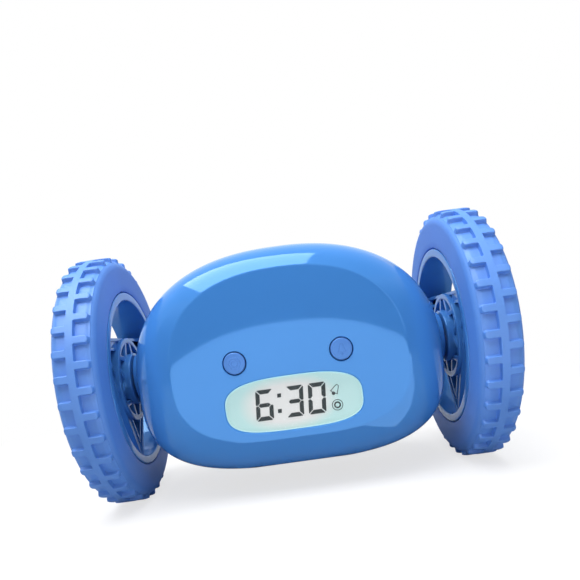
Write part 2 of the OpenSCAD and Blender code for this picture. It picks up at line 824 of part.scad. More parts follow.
snooze_t = 2.4;
snooze_switch_h = 3.4;
module snooze_button() {
  outline = [for (p = round_rect(snooze_w / 2, snooze_d / 2, snooze_d / 2 - eps, 8))
    p + [0, snooze_back]];
  plan = plan_points(outline, [0, snooze_back], 4);
  stem_end = snooze_board_z + board_t + snooze_switch_h + nub_h + snooze_travel + 0.05;
  color(blue) {
    crowned_plate(outline, [0, snooze_back], 4,
      [for (p = plan) top_z(p[0], p[1])], [for (p = plan) top_z(p[0], p[1]) - snooze_t]);
    translate([0, snooze_back, stem_end])
      cylinder(h = axle_h + body_top - snooze_t / 2 - stem_end, r = stem_r + 1);
  }
}

module snooze_board() {
  color(green) box([-snooze_bracket_x + 1.2, snooze_back - 6, snooze_board_z],
    [snooze_bracket_x - 1.2, snooze_back + 6, snooze_board_z + board_t]);
}

module snooze_switch() {
  z = snooze_board_z + board_t;
  color(black) {
    box([-3, snooze_back - 3, z], [3, snooze_back + 3, z + snooze_switch_h]);
    translate([0, snooze_back, z + snooze_switch_h]) cylinder(h = nub_h, r = switch_nub_r);
  }
}

// ================================================================ loudspeaker

// Depth of the loudspeaker to the back of its basket, and to the inside of the basket.
speaker_t = 5.4;
basket_t = 4.2;
speaker_rim = 2;
magnet_t = 3;
magnet_r = 7.5;
module speaker_frame() {
  color(steel) translate([0, rear_seat_y, speaker_z]) rotate([90, 0, 0])
    rotate_extrude()
      polygon([[speaker_r - speaker_rim, 0], [speaker_r, 0], [speaker_r, 1.5], [9.2, basket_t],
               [9.2, speaker_t], [4, speaker_t], [4, basket_t], [8, basket_t],
               [speaker_r - speaker_rim, 1.5]]);
}

module speaker_cone() {
  color(black) translate([0, rear_seat_y, speaker_z]) rotate([90, 0, 0])
    rotate_extrude()
      polygon([[0, 2.4], [4, 2.4], [speaker_r - speaker_rim, 0.4], [speaker_r - speaker_rim, 0.8],
               [4.2, 3.4], [0, 3.4]]);
}

module speaker_magnet() {
  color(steel) rod_y(rear_seat_y - speaker_t - magnet_t, rear_seat_y - speaker_t,
    0, speaker_z, magnet_r);
}

// ================================================================ batteries

module battery_tray() {
  color(black) translate([0, bay_y, 0]) difference() {
    box([-tray_x, -tray_half, tray_z0], [tray_x, tray_half, tray_z1]);
    box([-bay_x, -bay_half, tray_z0 - 1], [bay_x, bay_half, cell_z]);
    box([-bay_x, -bay_half, cell_z - 1], [bay_x, -cell_half + end_space, cell_z + cell_r + cell_gap]);
    box([-bay_x, cell_half - end_space, cell_z - 1], [bay_x, bay_half, cell_z + cell_r + cell_gap]);
    for (k = [0 : 3]) rod_y(-bay_half, bay_half, cell_x(k), cell_z, cell_r + cell_gap);
  }
}

function cell_x(k) = (k - 1.5) * cell_pitch;

// A cell along Y, its button end to the front (way -1) or to the back (way 1).
module cell(k) {
  way = k % 2 == 0 ? 1 : -1;
  color(steel) translate([0, bay_y, 0]) {
    y_flat = -way * cell_half;
    y_top = y_flat + way * cell_l;
    rod_y(min(y_flat, y_top), max(y_flat, y_top), cell_x(k), cell_z, cell_r);
    y_nub = y_top + way * nub_l;
    rod_y(min(y_top, y_nub), max(y_top, y_nub), cell_x(k), cell_z, cell_nub_r);
  }
}

module cell_1() { cell(0); }
module cell_2() { cell(1); }
module cell_3() { cell(2); }
module cell_4() { cell(3); }

// Plated contact strips at both ends of the bay.
module battery_contacts() {
  color(brass) for (way = [-1, 1]) for (pair = way > 0 ? [[0, 1], [2, 3]] : [[0, 0], [1, 2], [3, 3]]) {
    x0 = cell_x(pair[0]) - contact_half;
    x1 = cell_x(pair[1]) + contact_half;
    box([x0, bay_y + min(way * cell_half, way * bay_half), tray_z0],
        [x1, bay_y + max(way * cell_half, way * bay_half), cell_z + contact_half]);
  }
}

module battery_door() {
  outline = round_rect(door_hx - door_gap, door_hy - door_gap, door_r - door_gap, 5);
  plan = plan_points(outline, [0, 0], 5);
  tongue_z = cell_z - tongue_drop;
  color(blue) translate([0, bay_y, 0]) {
    crowned_plate(outline, [0, 0], 5,
      [for (p = plan) bottom_z(p[0], bay_y + p[1]) + door_t],
      [for (p = plan) bottom_z(p[0], bay_y + p[1])]);
    for (x = [-cell_pitch, cell_pitch]) {
      box([x - tongue_w / 2, -door_hy + door_gap, bottom_z(x, bay_y - door_hy) + door_t / 2],
          [x + tongue_w / 2, -door_hy + tongue_w, tongue_z]);
      box([x - tongue_w / 2, -door_hy - hook_l, tongue_z - 1],
          [x + tongue_w / 2, -door_hy + tongue_w, tongue_z]);
      box([x - tongue_w / 2, door_hy - tongue_w, bottom_z(x, bay_y + door_hy) + door_t / 2],
          [x + tongue_w / 2, door_hy - door_gap, tongue_z]);
    }
  }
}

// ================================================================ shell screws

module shell_screws() {
  color(steel) for (p = screw_places) {
    rod_y(screw_end_y + 0.5, screw_head_y, p[0], axle_h + p[1], screw_r);
    rod_y(screw_head_y, screw_head_y + 1.6, p[0], axle_h + p[1], screw_head_r);
  }
}

// ================================================================ wheels

shoulder_x = tyre_w / 2;
shoulder_r = 3;
bar_end = shoulder_x - 1.2;
// One half of the tyre's cross section, from the rim seat over the sidewall and the end of
// a tread bar to the middle of the tread: [radius, distance from the middle].
function half_section(way) = concat(
  [[rim_r, way * shoulder_x], [rim_r + 8, way * shoulder_x]],
  [for (i = [0 : 3]) let (t = 15 * i)
    [floor_r - shoulder_r * (1 - sin(t)), way * (shoulder_x - 2.6 * (1 - cos(t)))]],
  [[floor_r - 0.6, way * bar_end], [tread_r - 1.1, way * (bar_end - 0.2)],
   [tread_r - 0.35, way * (bar_end - 1)], [tread_r, way * (bar_end - 2.4)]]);

// Cross section of a pocket between two tread bars, open to the tread and to the side.
function pocket_section(way) = [
  [floor_r, way * rib_w / 2], [tread_r + 1, way * rib_w / 2], [tread_r + 1, way * (shoulder_x + 1)],
  [floor_r - 0.5, way * (shoulder_x + 1)], [floor_r - 0.5, way * bar_end],
  [floor_r, way * (bar_end - 1.6)]];

module tyre(side) {
  bar_angle = bar_w / tread_r * 180 / PI;
  pitch = 360 / tread_bars;
  color(tyre_blue) on_side(side) translate([wheel_xm, 0, axle_h]) rotate([0, 90, 0])
    difference() {
      rotate_extrude($fn = 180) polygon(concat(half_section(-1), reversed(half_section(1))));
      for (way = [-1, 1]) for (i = [0 : tread_bars - 1])
        rotate((i + (way > 0 ? 0.5 : 0)) * pitch + bar_angle / 2)
          rotate_extrude(angle = pitch - bar_angle, $fn = 180)
            polygon(way > 0 ? pocket_section(1) : reversed(pocket_section(-1)));
    }
}

module left_tyre() { tyre(-1); }
module right_tyre() { tyre(1); }

// Triangle with its corners at the rim, whose sides lie the distance r from the axis.
module triangle(r) {
  polygon([for (k = [0 : 2]) 2 * r * [cos(120 * k - 90), sin(120 * k - 90)]]);
}

module hub(side) {
  color(dark_blue) on_side(side) translate([0, 0, axle_h]) {
    rotate([0, 90, 0]) rotate_extrude($fn = 128)
      polygon([[drum_r, wheel_x0], [rim_r - lip_gap, wheel_x0], [rim_r - lip_gap, wheel_x0 + 0.8],
               [rim_r, wheel_x0 + 0.8], [rim_r, wheel_x1 - 0.8], [rim_r - lip_gap, wheel_x1 - 0.8],
               [rim_r - lip_gap, wheel_x1], [drum_r, wheel_x1]]);
    intersection() {
      rod_x(spoke_x0 - 1, web_x1, 0, 0, drum_r + 0.5);
      union() {
        translate([web_x0, 0, 0]) along_x() linear_extrude(web_x1 - web_x0) difference() {
          triangle(spoke_r);
          circle(axle_r);
        }
        translate([spoke_x0, 0, 0]) along_x() linear_extrude(web_x0 - spoke_x0 + eps)
          difference() {
            triangle(spoke_r);
            triangle(spoke_r - web_t);
          }
        translate([spoke_x0, 0, 0]) along_x() linear_extrude(web_x0 - spoke_x0 + eps)
          difference() {
            triangle(spoke_r - spoke_w + web_t);
            triangle(spoke_r - spoke_w);
            circle(hub_ring_r);
          }
      }
    }
    rotate([0, 90, 0]) rotate_extrude()
      polygon([[hub_ring_r - hub_ring_t, hub_ring_x0], [hub_ring_r, hub_ring_x0],
               [hub_ring_r, web_x0 + 0.5], [hub_ring_r - hub_ring_t, web_x0 + 0.5]]);
    rotate([0, 90, 0]) rotate_extrude()
      polygon([[axle_r, hub_boss_x0], [hub_boss_r, hub_boss_x0], [hub_boss_r, web_x0 + 0.5],
               [axle_r, web_x0 + 0.5]]);
    for (k = [0 : hub_ribs - 1]) rotate([360 * (k + 0.5) / hub_ribs, 0, 0])
      box([hub_ring_x0 + 0.6, hub_boss_r - 0.4, -web_t / 2],
          [web_x0 + 0.5, hub_ring_r - hub_ring_t / 2, web_t / 2]);
  }
}

module left_hub() { hub(-1); }
module right_hub() { hub(1); }

module wheel_cap(side) {
  color(blue) on_side(side) translate([0, 0, axle_h]) rotate([0, 90, 0]) rotate_extrude()
    polygon([[0, cap_x0], [cap_d / 2, cap_x0], [cap_d / 2, cap_x1 - 0.5], [cap_d / 2 - 0.5, cap_x1],
             [0, cap_x1]]);
}

module left_wheel_cap() { wheel_cap(-1); }
module right_wheel_cap() { wheel_cap(1); }

module axle(side) {
  color(steel) on_side(side) rod_x(axle_x0, web_x1, 0, axle_h, axle_r);
}

module left_axle() { axle(-1); }
module right_axle() { axle(1); }

module bush(side) {
  color(brass) on_side(side) translate([0, 0, axle_h]) rotate([0, 90, 0]) rotate_extrude()
    polygon([[axle_r + run_gap, bush_x0], [bush_r, bush_x0], [bush_r, bush_x1],
             [axle_r + run_gap, bush_x1]]);
}

module left_bush() { bush(-1); }
module right_bush() { bush(1); }

// ================================================================ gears

// Angle of the involute at radius r on a base circle of radius b, in degrees.
function involute(r, b) = r <= b ? 0 : let (c = acos(b / r)) tan(c) * 180 / PI - c;

pressure_angle = 20;
backlash = 0.14;
// Outline of a spur gear with module m and z teeth, one tooth pointing along +X.
function gear_outline(m, z) = let (
    rp = m * z / 2, rb = rp * cos(pressure_angle), ra = rp + 0.85 * m, rf = rp - 1.15 * m,
    half = 90 / z - backlash / 2 / rp * 180 / PI + involute(rp, rb),
    levels = [rf, max(rf + 0.01, rb), (max(rf, rb) + rp) / 2, rp, (rp + ra) / 2, ra])
  [for (k = [0 : z - 1]) each concat(
    [for (r = levels) let (a = 360 * k / z - half + involute(r, rb)) r * [cos(a), sin(a)]],
    [for (r = reversed(levels)) let (a = 360 * k / z + half - involute(r, rb))
      r * [cos(a), sin(a)]])];

module spur_gear(m, z, turn) {
  rotate(turn) polygon(gear_outline(m, z));
}

module drive_gear(side) {
  color(white) on_side(side) translate([gear2_x0, 0, axle_h]) along_x()
    linear_extrude(gear_w) difference() {
      spur_gear(drive_module, drive_teeth, idler_angle);
      circle(axle_r);
    }
}

module left_drive_gear() { drive_gear(-1); }
module right_drive_gear() { drive_gear(1); }

module idler_gear(side) {
  color(white) on_side(side) translate([0, idler_y, idler_z]) difference() {
    union() {
      translate([gear1_x0, 0, 0]) along_x() linear_extrude(gear_w)
        spur_gear(motor_module, idler_teeth, motor_angle);
      translate([gear1_x0 + gear_w - eps, 0, 0]) along_x()
        linear_extrude(gear2_x0 - gear1_x0 + 0.2 + eps)
          spur_gear(drive_module, pinion_teeth, idler_angle + 180 + 180 / pinion_teeth);
    }
    rod_x(gear1_x0 - 1, case_x1, 0, 0, pin_r + run_gap);
  }
}

module left_idler_gear() { idler_gear(-1); }
module right_idler_gear() { idler_gear(1); }

module idler_pin(side) {
  color(steel) on_side(side) rod_x(inner_plate_x0, case_x1, idler_y, idler_z, pin_r);
}

module left_idler_pin() { idler_pin(-1); }
module right_idler_pin() { idler_pin(1); }

module gear_case(side) {
  color(black) on_side(side) difference() {
    union() {
      box([inner_plate_x0, case_y0, case_z0], [inner_plate_x0 + plate_t, case_y1, case_z1]);
      hull() {
        rod_x(outer_plate_x0, case_x1, idler_y, idler_z, 3);
        rod_x(outer_plate_x0, case_x1, 0, axle_h, 5);
        rod_x(outer_plate_x0, case_x1, post_y, axle_h, post_r);
      }
      rod_x(inner_plate_x0, case_x1, post_y, axle_h, post_r);
      box([inner_plate_x0, post_y, axle_h - post_r],
          [inner_plate_x0 + plate_t, case_y0 + 1, axle_h + post_r]);
    }
    rod_x(inner_plate_x0 - 1, case_x1 + 1, 0, axle_h, axle_r + run_gap);
    rod_x(inner_plate_x0 - 1, case_x1 + 1, idler_y, idler_z, pin_r);
    rod_x(inner_plate_x0 - 1, inner_plate_x0 + plate_t + 1, motor_y, motor_z, shaft_r + 1.2);
  }
}

module left_gear_case() { gear_case(-1); }
module right_gear_case() { gear_case(1); }

// ================================================================ motors

can_t = 0.8;
module motor_profile(inset) {
  intersection() {
    circle(motor_d / 2 - inset);
    square([motor_d, motor_h - 2 * inset], center = true);
  }
}

module motor_can(side) {
  color(steel) on_side(side) difference() {
    translate([motor_x0, motor_y, motor_z]) along_x() linear_extrude(motor_l) motor_profile(0);
    translate([motor_x0 + can_t, motor_y, motor_z]) along_x()
      linear_extrude(motor_l - 2 * can_t) motor_profile(can_t);
    rod_x(motor_x0 - 1, motor_x1 + 1, motor_y, motor_z, shaft_r + run_gap);
  }
}

module left_motor_can() { motor_can(-1); }
module right_motor_can() { motor_can(1); }

module rotor(side) {
  color(brass) on_side(side) {
    rod_x(motor_x0 - 1, gear1_x0 + gear_w, motor_y, motor_z, shaft_r);
    rod_x(motor_x0 + 4, motor_x1 - 5, motor_y, motor_z, 5.2);
  }
}

module left_rotor() { rotor(-1); }
module right_rotor() { rotor(1); }

module pinion(side) {
  color(brass) on_side(side) translate([gear1_x0, motor_y, motor_z]) along_x()
    linear_extrude(gear_w) difference() {
      spur_gear(motor_module, pinion_teeth, motor_angle + 180 + 180 / pinion_teeth);
      circle(shaft_r);
    }
}

module left_pinion() { pinion(-1); }
module right_pinion() { pinion(1); }

// ================================================================ nodes

front_shell();
rear_shell();
face_panel();
rear_panel();
display_lens();
display_segments();
display_glass();
backlight();
display_carrier();
main_board();
board_chips();
front_switches();
board_screws();
wheel_button();
alarm_button();
snooze_button();
snooze_board();
snooze_switch();
hour_button();
minute_button();
time_button();
alarm_set_button();
rear_board();
rear_switches();
speaker_frame();
speaker_cone();
speaker_magnet();
battery_tray();
cell_1();
cell_2();
cell_3();
cell_4();
battery_contacts();
battery_door();
shell_screws();
left_tyre();
right_tyre();
left_hub();
right_hub();
left_wheel_cap();
right_wheel_cap();
left_axle();
right_axle();
left_bush();
right_bush();
left_gear_case();
right_gear_case();
left_drive_gear();
right_drive_gear();
left_idler_gear();
right_idler_gear();
left_idler_pin();
right_idler_pin();
left_motor_can();
right_motor_can();
left_rotor();
right_rotor();
left_pinion();
right_pinion();
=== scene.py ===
# %% [markdown]
# # A runaway alarm clock in glossy blue plastic
#
# The clock is a rounded body slung between two rubber tyred wheels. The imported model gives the
# frame: every solid with its true place. Over it this lesson builds the surfaces that a camera
# sees: the smooth shells with their broad face, the buttons, the display, the tyres with their
# tread and the hollow spoked hubs. All shapes are computed with numpy in millimetres and turned
# into meshes in metres.

# %% Load the fixed frame
import math

import bmesh
import bpy
import numpy as np
from mathutils import Matrix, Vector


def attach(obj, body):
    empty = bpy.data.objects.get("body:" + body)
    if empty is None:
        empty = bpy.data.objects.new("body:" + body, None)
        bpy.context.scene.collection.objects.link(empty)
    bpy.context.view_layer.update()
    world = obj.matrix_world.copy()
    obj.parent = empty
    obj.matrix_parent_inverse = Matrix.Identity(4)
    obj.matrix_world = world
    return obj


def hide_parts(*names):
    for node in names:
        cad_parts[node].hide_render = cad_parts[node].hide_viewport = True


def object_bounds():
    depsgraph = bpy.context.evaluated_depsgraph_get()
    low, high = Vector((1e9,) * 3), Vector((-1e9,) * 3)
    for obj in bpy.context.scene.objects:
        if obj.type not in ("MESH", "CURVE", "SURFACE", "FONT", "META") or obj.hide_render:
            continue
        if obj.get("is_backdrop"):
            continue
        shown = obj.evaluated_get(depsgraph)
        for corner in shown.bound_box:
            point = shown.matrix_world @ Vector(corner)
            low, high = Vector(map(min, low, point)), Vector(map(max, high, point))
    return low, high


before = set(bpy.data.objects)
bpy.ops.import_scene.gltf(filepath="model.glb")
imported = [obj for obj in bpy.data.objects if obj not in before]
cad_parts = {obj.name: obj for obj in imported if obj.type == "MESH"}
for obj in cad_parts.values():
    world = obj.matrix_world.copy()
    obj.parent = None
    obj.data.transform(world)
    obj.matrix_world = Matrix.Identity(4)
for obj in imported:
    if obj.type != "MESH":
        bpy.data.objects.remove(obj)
cad_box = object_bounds()
MM, AXLE = 0.001, 44.0

# %% [markdown]
# ## Helpers that make meshes
#
# A shape here is a grid of points, a closed loop of cross sections, or a flat outline given a
# thickness. One helper puts arrays into a mesh with foreach_set, makes its faces point outwards
# and marks edges sharper than a given angle, so that curved areas shade smoothly and real edges
# stay crisp. Modifiers would do the same job, but arrays keep every point where its formula says.

# %% Put arrays into a mesh object
def add_object(name, data):
    """New object of a name in the scene."""
    piece = bpy.data.objects.new(name, data)
    bpy.context.scene.collection.objects.link(piece)
    return piece


def close_up(piece, sharp=32):
    """Merges doubles, removes empty faces, turns faces outwards and marks edges sharper than sharp degrees."""
    work = bmesh.new()
    work.from_mesh(piece.data)
    bmesh.ops.remove_doubles(work, verts=work.verts, dist=2e-6)
    bmesh.ops.dissolve_degenerate(work, edges=work.edges, dist=1e-6)
    bmesh.ops.recalc_face_normals(work, faces=work.faces)
    work.to_mesh(piece.data)
    work.free()
    piece.data.polygons.foreach_set("use_smooth", [True] * len(piece.data.polygons))
    piece.data.set_sharp_from_angle(angle=math.radians(sharp))
    return piece


def make_piece(name, points, faces, sharp=32):
    """Mesh object from points (n, 3) in millimetres and faces (m, 3 or 4); faces turned outwards."""
    points, faces = np.asarray(points, float), np.asarray(faces, int)
    mesh = bpy.data.meshes.new(name)
    mesh.vertices.add(len(points))
    mesh.vertices.foreach_set("co", (points * MM).ravel())
    mesh.loops.add(faces.size)
    mesh.loops.foreach_set("vertex_index", faces.ravel())
    mesh.polygons.add(len(faces))
    mesh.polygons.foreach_set("loop_start", np.arange(0, faces.size, faces.shape[1]))
    mesh.update(calc_edges=True)
    return close_up(add_object(name, mesh), sharp)


def grid_faces(rows, columns, wrap_rows=False, wrap_columns=True):
    """Quads between neighbouring points of a rows by columns grid, closed round where asked."""
    r = np.arange(rows if wrap_rows else rows - 1)[:, None]
    c = np.arange(columns if wrap_columns else columns - 1)[None, :]
    r1, c1 = (r + 1) % rows, (c + 1) % columns
    return np.stack([r * columns + c + 0 * r1, r * columns + c1, r1 * columns + c1,
                     r1 * columns + c], -1).reshape(-1, 4)


def halves(quads):
    """Two triangles from each quad."""
    return np.concatenate([quads[:, [0, 1, 2]], quads[:, [0, 2, 3]]])


def tube(name, rings, tips, sharp=32):
    """Closed piece from rings (rows, n, 3) whose ends are fans to the two tips."""
    rows, n = rings.shape[:2]
    i, end = np.arange(n), rows * n
    fans = [np.stack([first + i, first + (i + 1) % n, 0 * i + tip], 1) for first, tip in ((0, end), (end - n, end + 1))]
    points = np.concatenate([rings.reshape(-1, 3), tips])
    return make_piece(name, points, np.concatenate([halves(grid_faces(rows, n)), *fans]), sharp)


# %% Lathes, prisms, cuts and joins
def around(count):
    """Angles of a full turn in count equal steps."""
    return np.linspace(0, 2 * np.pi, count, endpoint=False)


def circle(u, v, r, count=96):
    """Points of a circle about u, v."""
    a = around(count)
    return np.stack([u + r * np.cos(a), v + r * np.sin(a)], 1)


def lathe(name, profile, turns):
    """Closed ring round the wheel axle: the point (r, x) goes to (x, r cos a, axle + r sin a)."""
    r, x = np.asarray(profile, float).T[:, :, None]
    a = around(turns)
    points = np.stack([x + 0 * a, r * np.cos(a), AXLE + r * np.sin(a)], -1)
    return make_piece(name, points.reshape(-1, 3), grid_faces(len(profile), turns, wrap_rows=True))


def rounded_profile(corners, radius, steps=4):
    """Closed polygon whose corners are each replaced by steps + 1 points of a quadratic curve."""
    corners = np.asarray(corners, float)
    ways = [np.roll(corners, step, 0) - corners for step in (1, -1)]
    start, end = (corners + way * np.minimum(radius / np.linalg.norm(way, axis=1, keepdims=True), 0.45)
                  for way in ways)
    t = np.linspace(0, 1, steps + 1)[None, :, None]
    bends = (1 - t) ** 2 * start[:, None] + 2 * t * (1 - t) * corners[:, None] + t ** 2 * end[:, None]
    return bends.reshape(-1, corners.shape[1])


def slab(name, outline, low, high, to_space, bevel):
    """Flat outline (n, 2) given a thickness from low to high, its rim rounded by bevel; to_space
    turns (u, v, height) arrays into x, y, z. The caps are fans about the outline's middle."""
    outline = np.asarray(outline, float)
    tangent = np.roll(outline, -1, 0) - np.roll(outline, 1, 0)
    normal = np.stack([tangent[:, 1], -tangent[:, 0]], 1)
    normal /= np.linalg.norm(normal, axis=1, keepdims=True) + 1e-12
    ahead = np.roll(outline, -1, 0)
    inward = -normal * np.sign(np.sum(outline[:, 0] * ahead[:, 1] - ahead[:, 0] * outline[:, 1]))
    bend = np.linspace(0, np.pi / 2, 4)
    inset = np.concatenate([bevel * (1 - np.sin(bend)), bevel * (1 - np.cos(bend))])
    height = np.concatenate([low + bevel * (1 - np.cos(bend)), high - bevel * (1 - np.sin(bend))])
    u, v = np.moveaxis(outline[None] + inward[None] * inset[:, None, None], -1, 0)
    tips = to_space(*(np.full(2, m) for m in outline.mean(0)), np.array([low, high], float))
    return tube(name, np.stack(to_space(u, v, height[:, None] + 0 * u), -1), np.stack(tips, -1))


def cut(piece, cutters):
    """Cuts the cutters out of a closed piece and removes them."""
    for cutter in cutters:
        step = piece.modifiers.new("cut", "BOOLEAN")
        step.operation, step.object, step.solver = "DIFFERENCE", cutter, "MANIFOLD"
    depsgraph = bpy.context.evaluated_depsgraph_get()
    result = bpy.data.meshes.new_from_object(piece.evaluated_get(depsgraph))
    piece.modifiers.clear()
    piece.data = result
    for cutter in cutters:
        bpy.data.objects.remove(cutter)
    return close_up(piece)


def join(name, pieces):
    """One object from several closed pieces that don't need to be cut against each other."""
    work = bmesh.new()
    for piece in pieces:
        work.from_mesh(piece.data)
    mesh = bpy.data.meshes.new(name)
    work.to_mesh(mesh)
    work.free()
    whole = add_object(name, mesh)
    for piece in pieces:
        bpy.data.objects.remove(piece)
    return whole


def dress(piece, finish_name, body, slot, *nodes):
    """Gives a piece its finish and its body and hides the nodes it stands for. The argument slot is not used."""
    piece.data.materials.clear()
    piece.data.materials.append(FINISH[finish_name])
    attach(piece, body)
    if nodes:
        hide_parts(*nodes)
    print(f"{piece.name}: {len(piece.data.polygons)} faces on {body}")


# %% [markdown]
# ## Finishes
#
# The body is moulded plastic with a high gloss: a blue base, a reflection that takes on some of
# the blue, and the faint orange peel that a moulded wall keeps. It could be one flat colour, but
# a very fine noise in the colour, the roughness and the bump is what makes plastic read as
# plastic when a light moves over it. Rubber is rougher, with a grain of its own.

# %% Short ways to add, set and link nodes
def new_nodes(owner, *kinds):
    """New shader nodes of the given kinds in a material or world."""
    return [owner.node_tree.nodes.new("ShaderNode" + kind) for kind in kinds]


def put(node, values):
    """Sets input sockets of a node by name."""
    for key, value in values.items():
        node.inputs[key].default_value = value


def connect(owner, *wires):
    """Links given as (node, its output, node, its input)."""
    for source, out, target, into in wires:
        owner.node_tree.links.new(source.outputs[out], target.inputs[into])


def srgb(r, g, b):
    """Linear colour from sRGB values of 0 to 255."""
    v = np.array([r, g, b]) / 255
    return tuple(np.where(v <= 0.04045, v / 12.92, ((v + 0.055) / 1.055) ** 2.4).tolist())


# %% A moulded finish with colour, roughness and bump from noise
def finish(name, colour, roughness, metallic=0.0, grain=900.0, bump=0.02, vary=0.06, tint=(1, 1, 1), specular=0.5):
    """Material on Object coordinates: broad noise varies the colour, fine noise the roughness and the bump."""
    material = bpy.data.materials.new(name)
    material.use_nodes = True
    shader = material.node_tree.nodes["Principled BSDF"]
    place, broad, fine, shades, spread = new_nodes(material, "TexCoord", "TexNoise", "TexNoise", "ValToRGB", "MapRange")
    put(broad, {"Scale": 40.0, "Detail": 3.0})
    put(fine, {"Scale": grain, "Detail": 2.0})
    put(spread, {"To Min": roughness * 0.85, "To Max": roughness * 1.15})
    for stop, at, share in zip(shades.color_ramp.elements, (0.3, 0.7), (1 - vary, 1 + vary)):
        stop.position, stop.color = at, (*[min(1.0, c * share) for c in colour], 1)
    connect(material, (place, "Object", broad, "Vector"), (place, "Object", fine, "Vector"),
            (broad, "Fac", shades, "Fac"), (shades, "Color", shader, "Base Color"),
            (fine, "Fac", spread, "Value"), (spread, "Result", shader, "Roughness"))
    if bump:
        relief, = new_nodes(material, "Bump")
        put(relief, {"Strength": bump, "Distance": 0.0002})
        connect(material, (fine, "Fac", relief, "Height"), (relief, "Normal", shader, "Normal"))
    put(shader, {"Metallic": metallic, "Specular Tint": (*tint, 1), "Specular IOR Level": specular})
    return material


BLUE_TINT = (0.3, 0.62, 1.0)
FINISH = {name: finish(name, srgb(*colour), roughness, **more) for name, colour, roughness, more in (
    ("shell_blue", (65, 129, 203), 0.055, dict(bump=0.008, tint=BLUE_TINT, vary=0.012, specular=0.7)),
    ("button_blue", (80, 127, 200), 0.32, dict(bump=0.05, tint=BLUE_TINT, vary=0.02)),
    ("rim_blue", (68, 128, 196), 0.08, dict(bump=0.02, tint=BLUE_TINT, vary=0.03, specular=0.8)),
    ("tyre_blue", (82, 135, 214), 0.5, dict(grain=1600, bump=0.08, vary=0.04, specular=0.4)),
    ("set_white", (226, 232, 238), 0.35, dict(bump=0.03, vary=0.02)),
    ("dark_plastic", (38, 40, 44), 0.5, dict(bump=0.08)),
    ("grey_plastic", (188, 192, 190), 0.5, dict(bump=0.04)),
    ("board_green", (34, 108, 66), 0.35, dict(grain=300, bump=0.05, vary=0.12)),
    ("steel", (186, 189, 194), 0.28, dict(metallic=1.0, grain=1400, bump=0.05)),
    ("nickel", (206, 200, 188), 0.22, dict(metallic=1.0, grain=1400, bump=0.04)),
    ("bronze", (190, 142, 84), 0.36, dict(metallic=1.0, grain=2200, bump=0.10)),
    ("copper", (196, 112, 66), 0.32, dict(metallic=1.0, grain=700, bump=0.25)),
    ("nylon", (232, 230, 218), 0.42, dict(bump=0.04, vary=0.02)),
    ("cone_black", (28, 29, 32), 0.7, dict(grain=700, bump=0.3)),
    ("segment_dark", (44, 41, 40), 0.6, dict(bump=0.0, specular=0.1)))}
print("finishes:", len(FINISH))

# %% [markdown]
# ## The body outline
#
# Seen from the front the body is a soft oval, rounder above and flatter below. A rounded form of
# that kind is a superellipse: |x/a|^n + |z/b|^n = 1. The upper and the lower half have their own
# height b and exponent n, and both meet at the sides with an upright tangent. Every other ring of
# the body is this outline made smaller, with its middle raised a little.

# %% Sizes and outline functions of the body
HALF_W, TOP, BOTTOM, WAIST = 52.6, 41.6, 32.8, 3.4
TOP_N, BOTTOM_N, RIM_N, EDGE_N = 2.33, 3.13, 3.6, 2.3
DEPTH, WALL, RIM_FALL = 32.4, 2.2, 0.16
FACE, FACE_RISE = 0.715, 2.75
CREASE_Y, SEAT_Y, CROWN = 30.9, 29.4, 1.3
REAR, REAR_CREST, REAR_CREASE_Y, REAR_SEAT_Y, REAR_CROWN = 0.6, 0.68, 31.6, 30.1, 0.7
AROUND = 320
RIM_TABLE = np.linspace(1, 0, 4001)


def middle_z(share):
    """Height of the middle of the outline that is share times as large as the waist outline."""
    return AXLE - WAIST + FACE_RISE * (1 - share) / (1 - FACE)


def rounded(angle, a, b, n):
    """Radius r of a rounded form: (|cos|/a)^n + (|sin|/b)^n = r^-n."""
    return ((np.abs(np.cos(angle)) / a) ** n + (np.abs(np.sin(angle)) / b) ** n) ** (-1 / n)


def radius_at(angle, inset=0.0):
    """Radius of the body outline, with other b and n above and below."""
    up = np.sin(angle) >= 0
    return rounded(angle, HALF_W - inset, np.where(up, TOP, BOTTOM) - inset, np.where(up, TOP_N, BOTTOM_N))


def gauge(x, z, mid):
    """Share of the body outline on which the point x, z lies, for a middle at height mid."""
    up = z >= mid
    n = np.where(up, TOP_N, BOTTOM_N)
    return ((np.abs(x) / HALF_W) ** n + (np.abs(z - mid) / np.where(up, TOP, BOTTOM)) ** n) ** (1 / n)


def edge_curve(depth, steps):
    """Rounded rear edge (share, y): share = crest + (1 - crest) cos^(2/n) p, y = depth sin^(2/n) p."""
    p = np.linspace(0, np.pi / 2, steps + 1)
    return np.stack([REAR_CREST + (1 - REAR_CREST) * np.cos(p).clip(0) ** (2 / EDGE_N),
                     depth * np.sin(p) ** (2 / EDGE_N)], 1)


def rim_depth(t, depth=CREASE_Y):
    """Rim of the front shell: depth (1 - fall t) (1 - t^n)^(1/n), t from 0 at the face to 1 at the split plane."""
    return depth * (1 - RIM_FALL * t) * (1 - np.asarray(t, float) ** RIM_N).clip(0) ** (1 / RIM_N)


def rim_curve(inner, depth, steps):
    """Points (share, y) of the rim from the split plane in to the share inner, dense where it bends."""
    t = np.cos(np.linspace(0, np.pi / 2, steps + 1)).clip(0) ** (2 / RIM_N)
    t = np.concatenate([t[:-1], np.linspace(t[-2], 0, max(2, steps // 4))[1:]])
    return np.stack([inner + (1 - inner) * t, rim_depth(t, depth)], 1)


def body_share(y):
    """Share of the outline that the body keeps at depth y: the rim in front and the edge curve behind, read
    the other way."""
    y = np.asarray(y, float)
    front = FACE + (1 - FACE) * np.interp(-y, rim_depth(RIM_TABLE), RIM_TABLE)
    rear = REAR_CREST + (1 - REAR_CREST) * (1 - np.minimum(1, np.abs(y) / DEPTH) ** EDGE_N).clip(0) ** (1 / EDGE_N)
    return np.where(y < 0, front, rear)


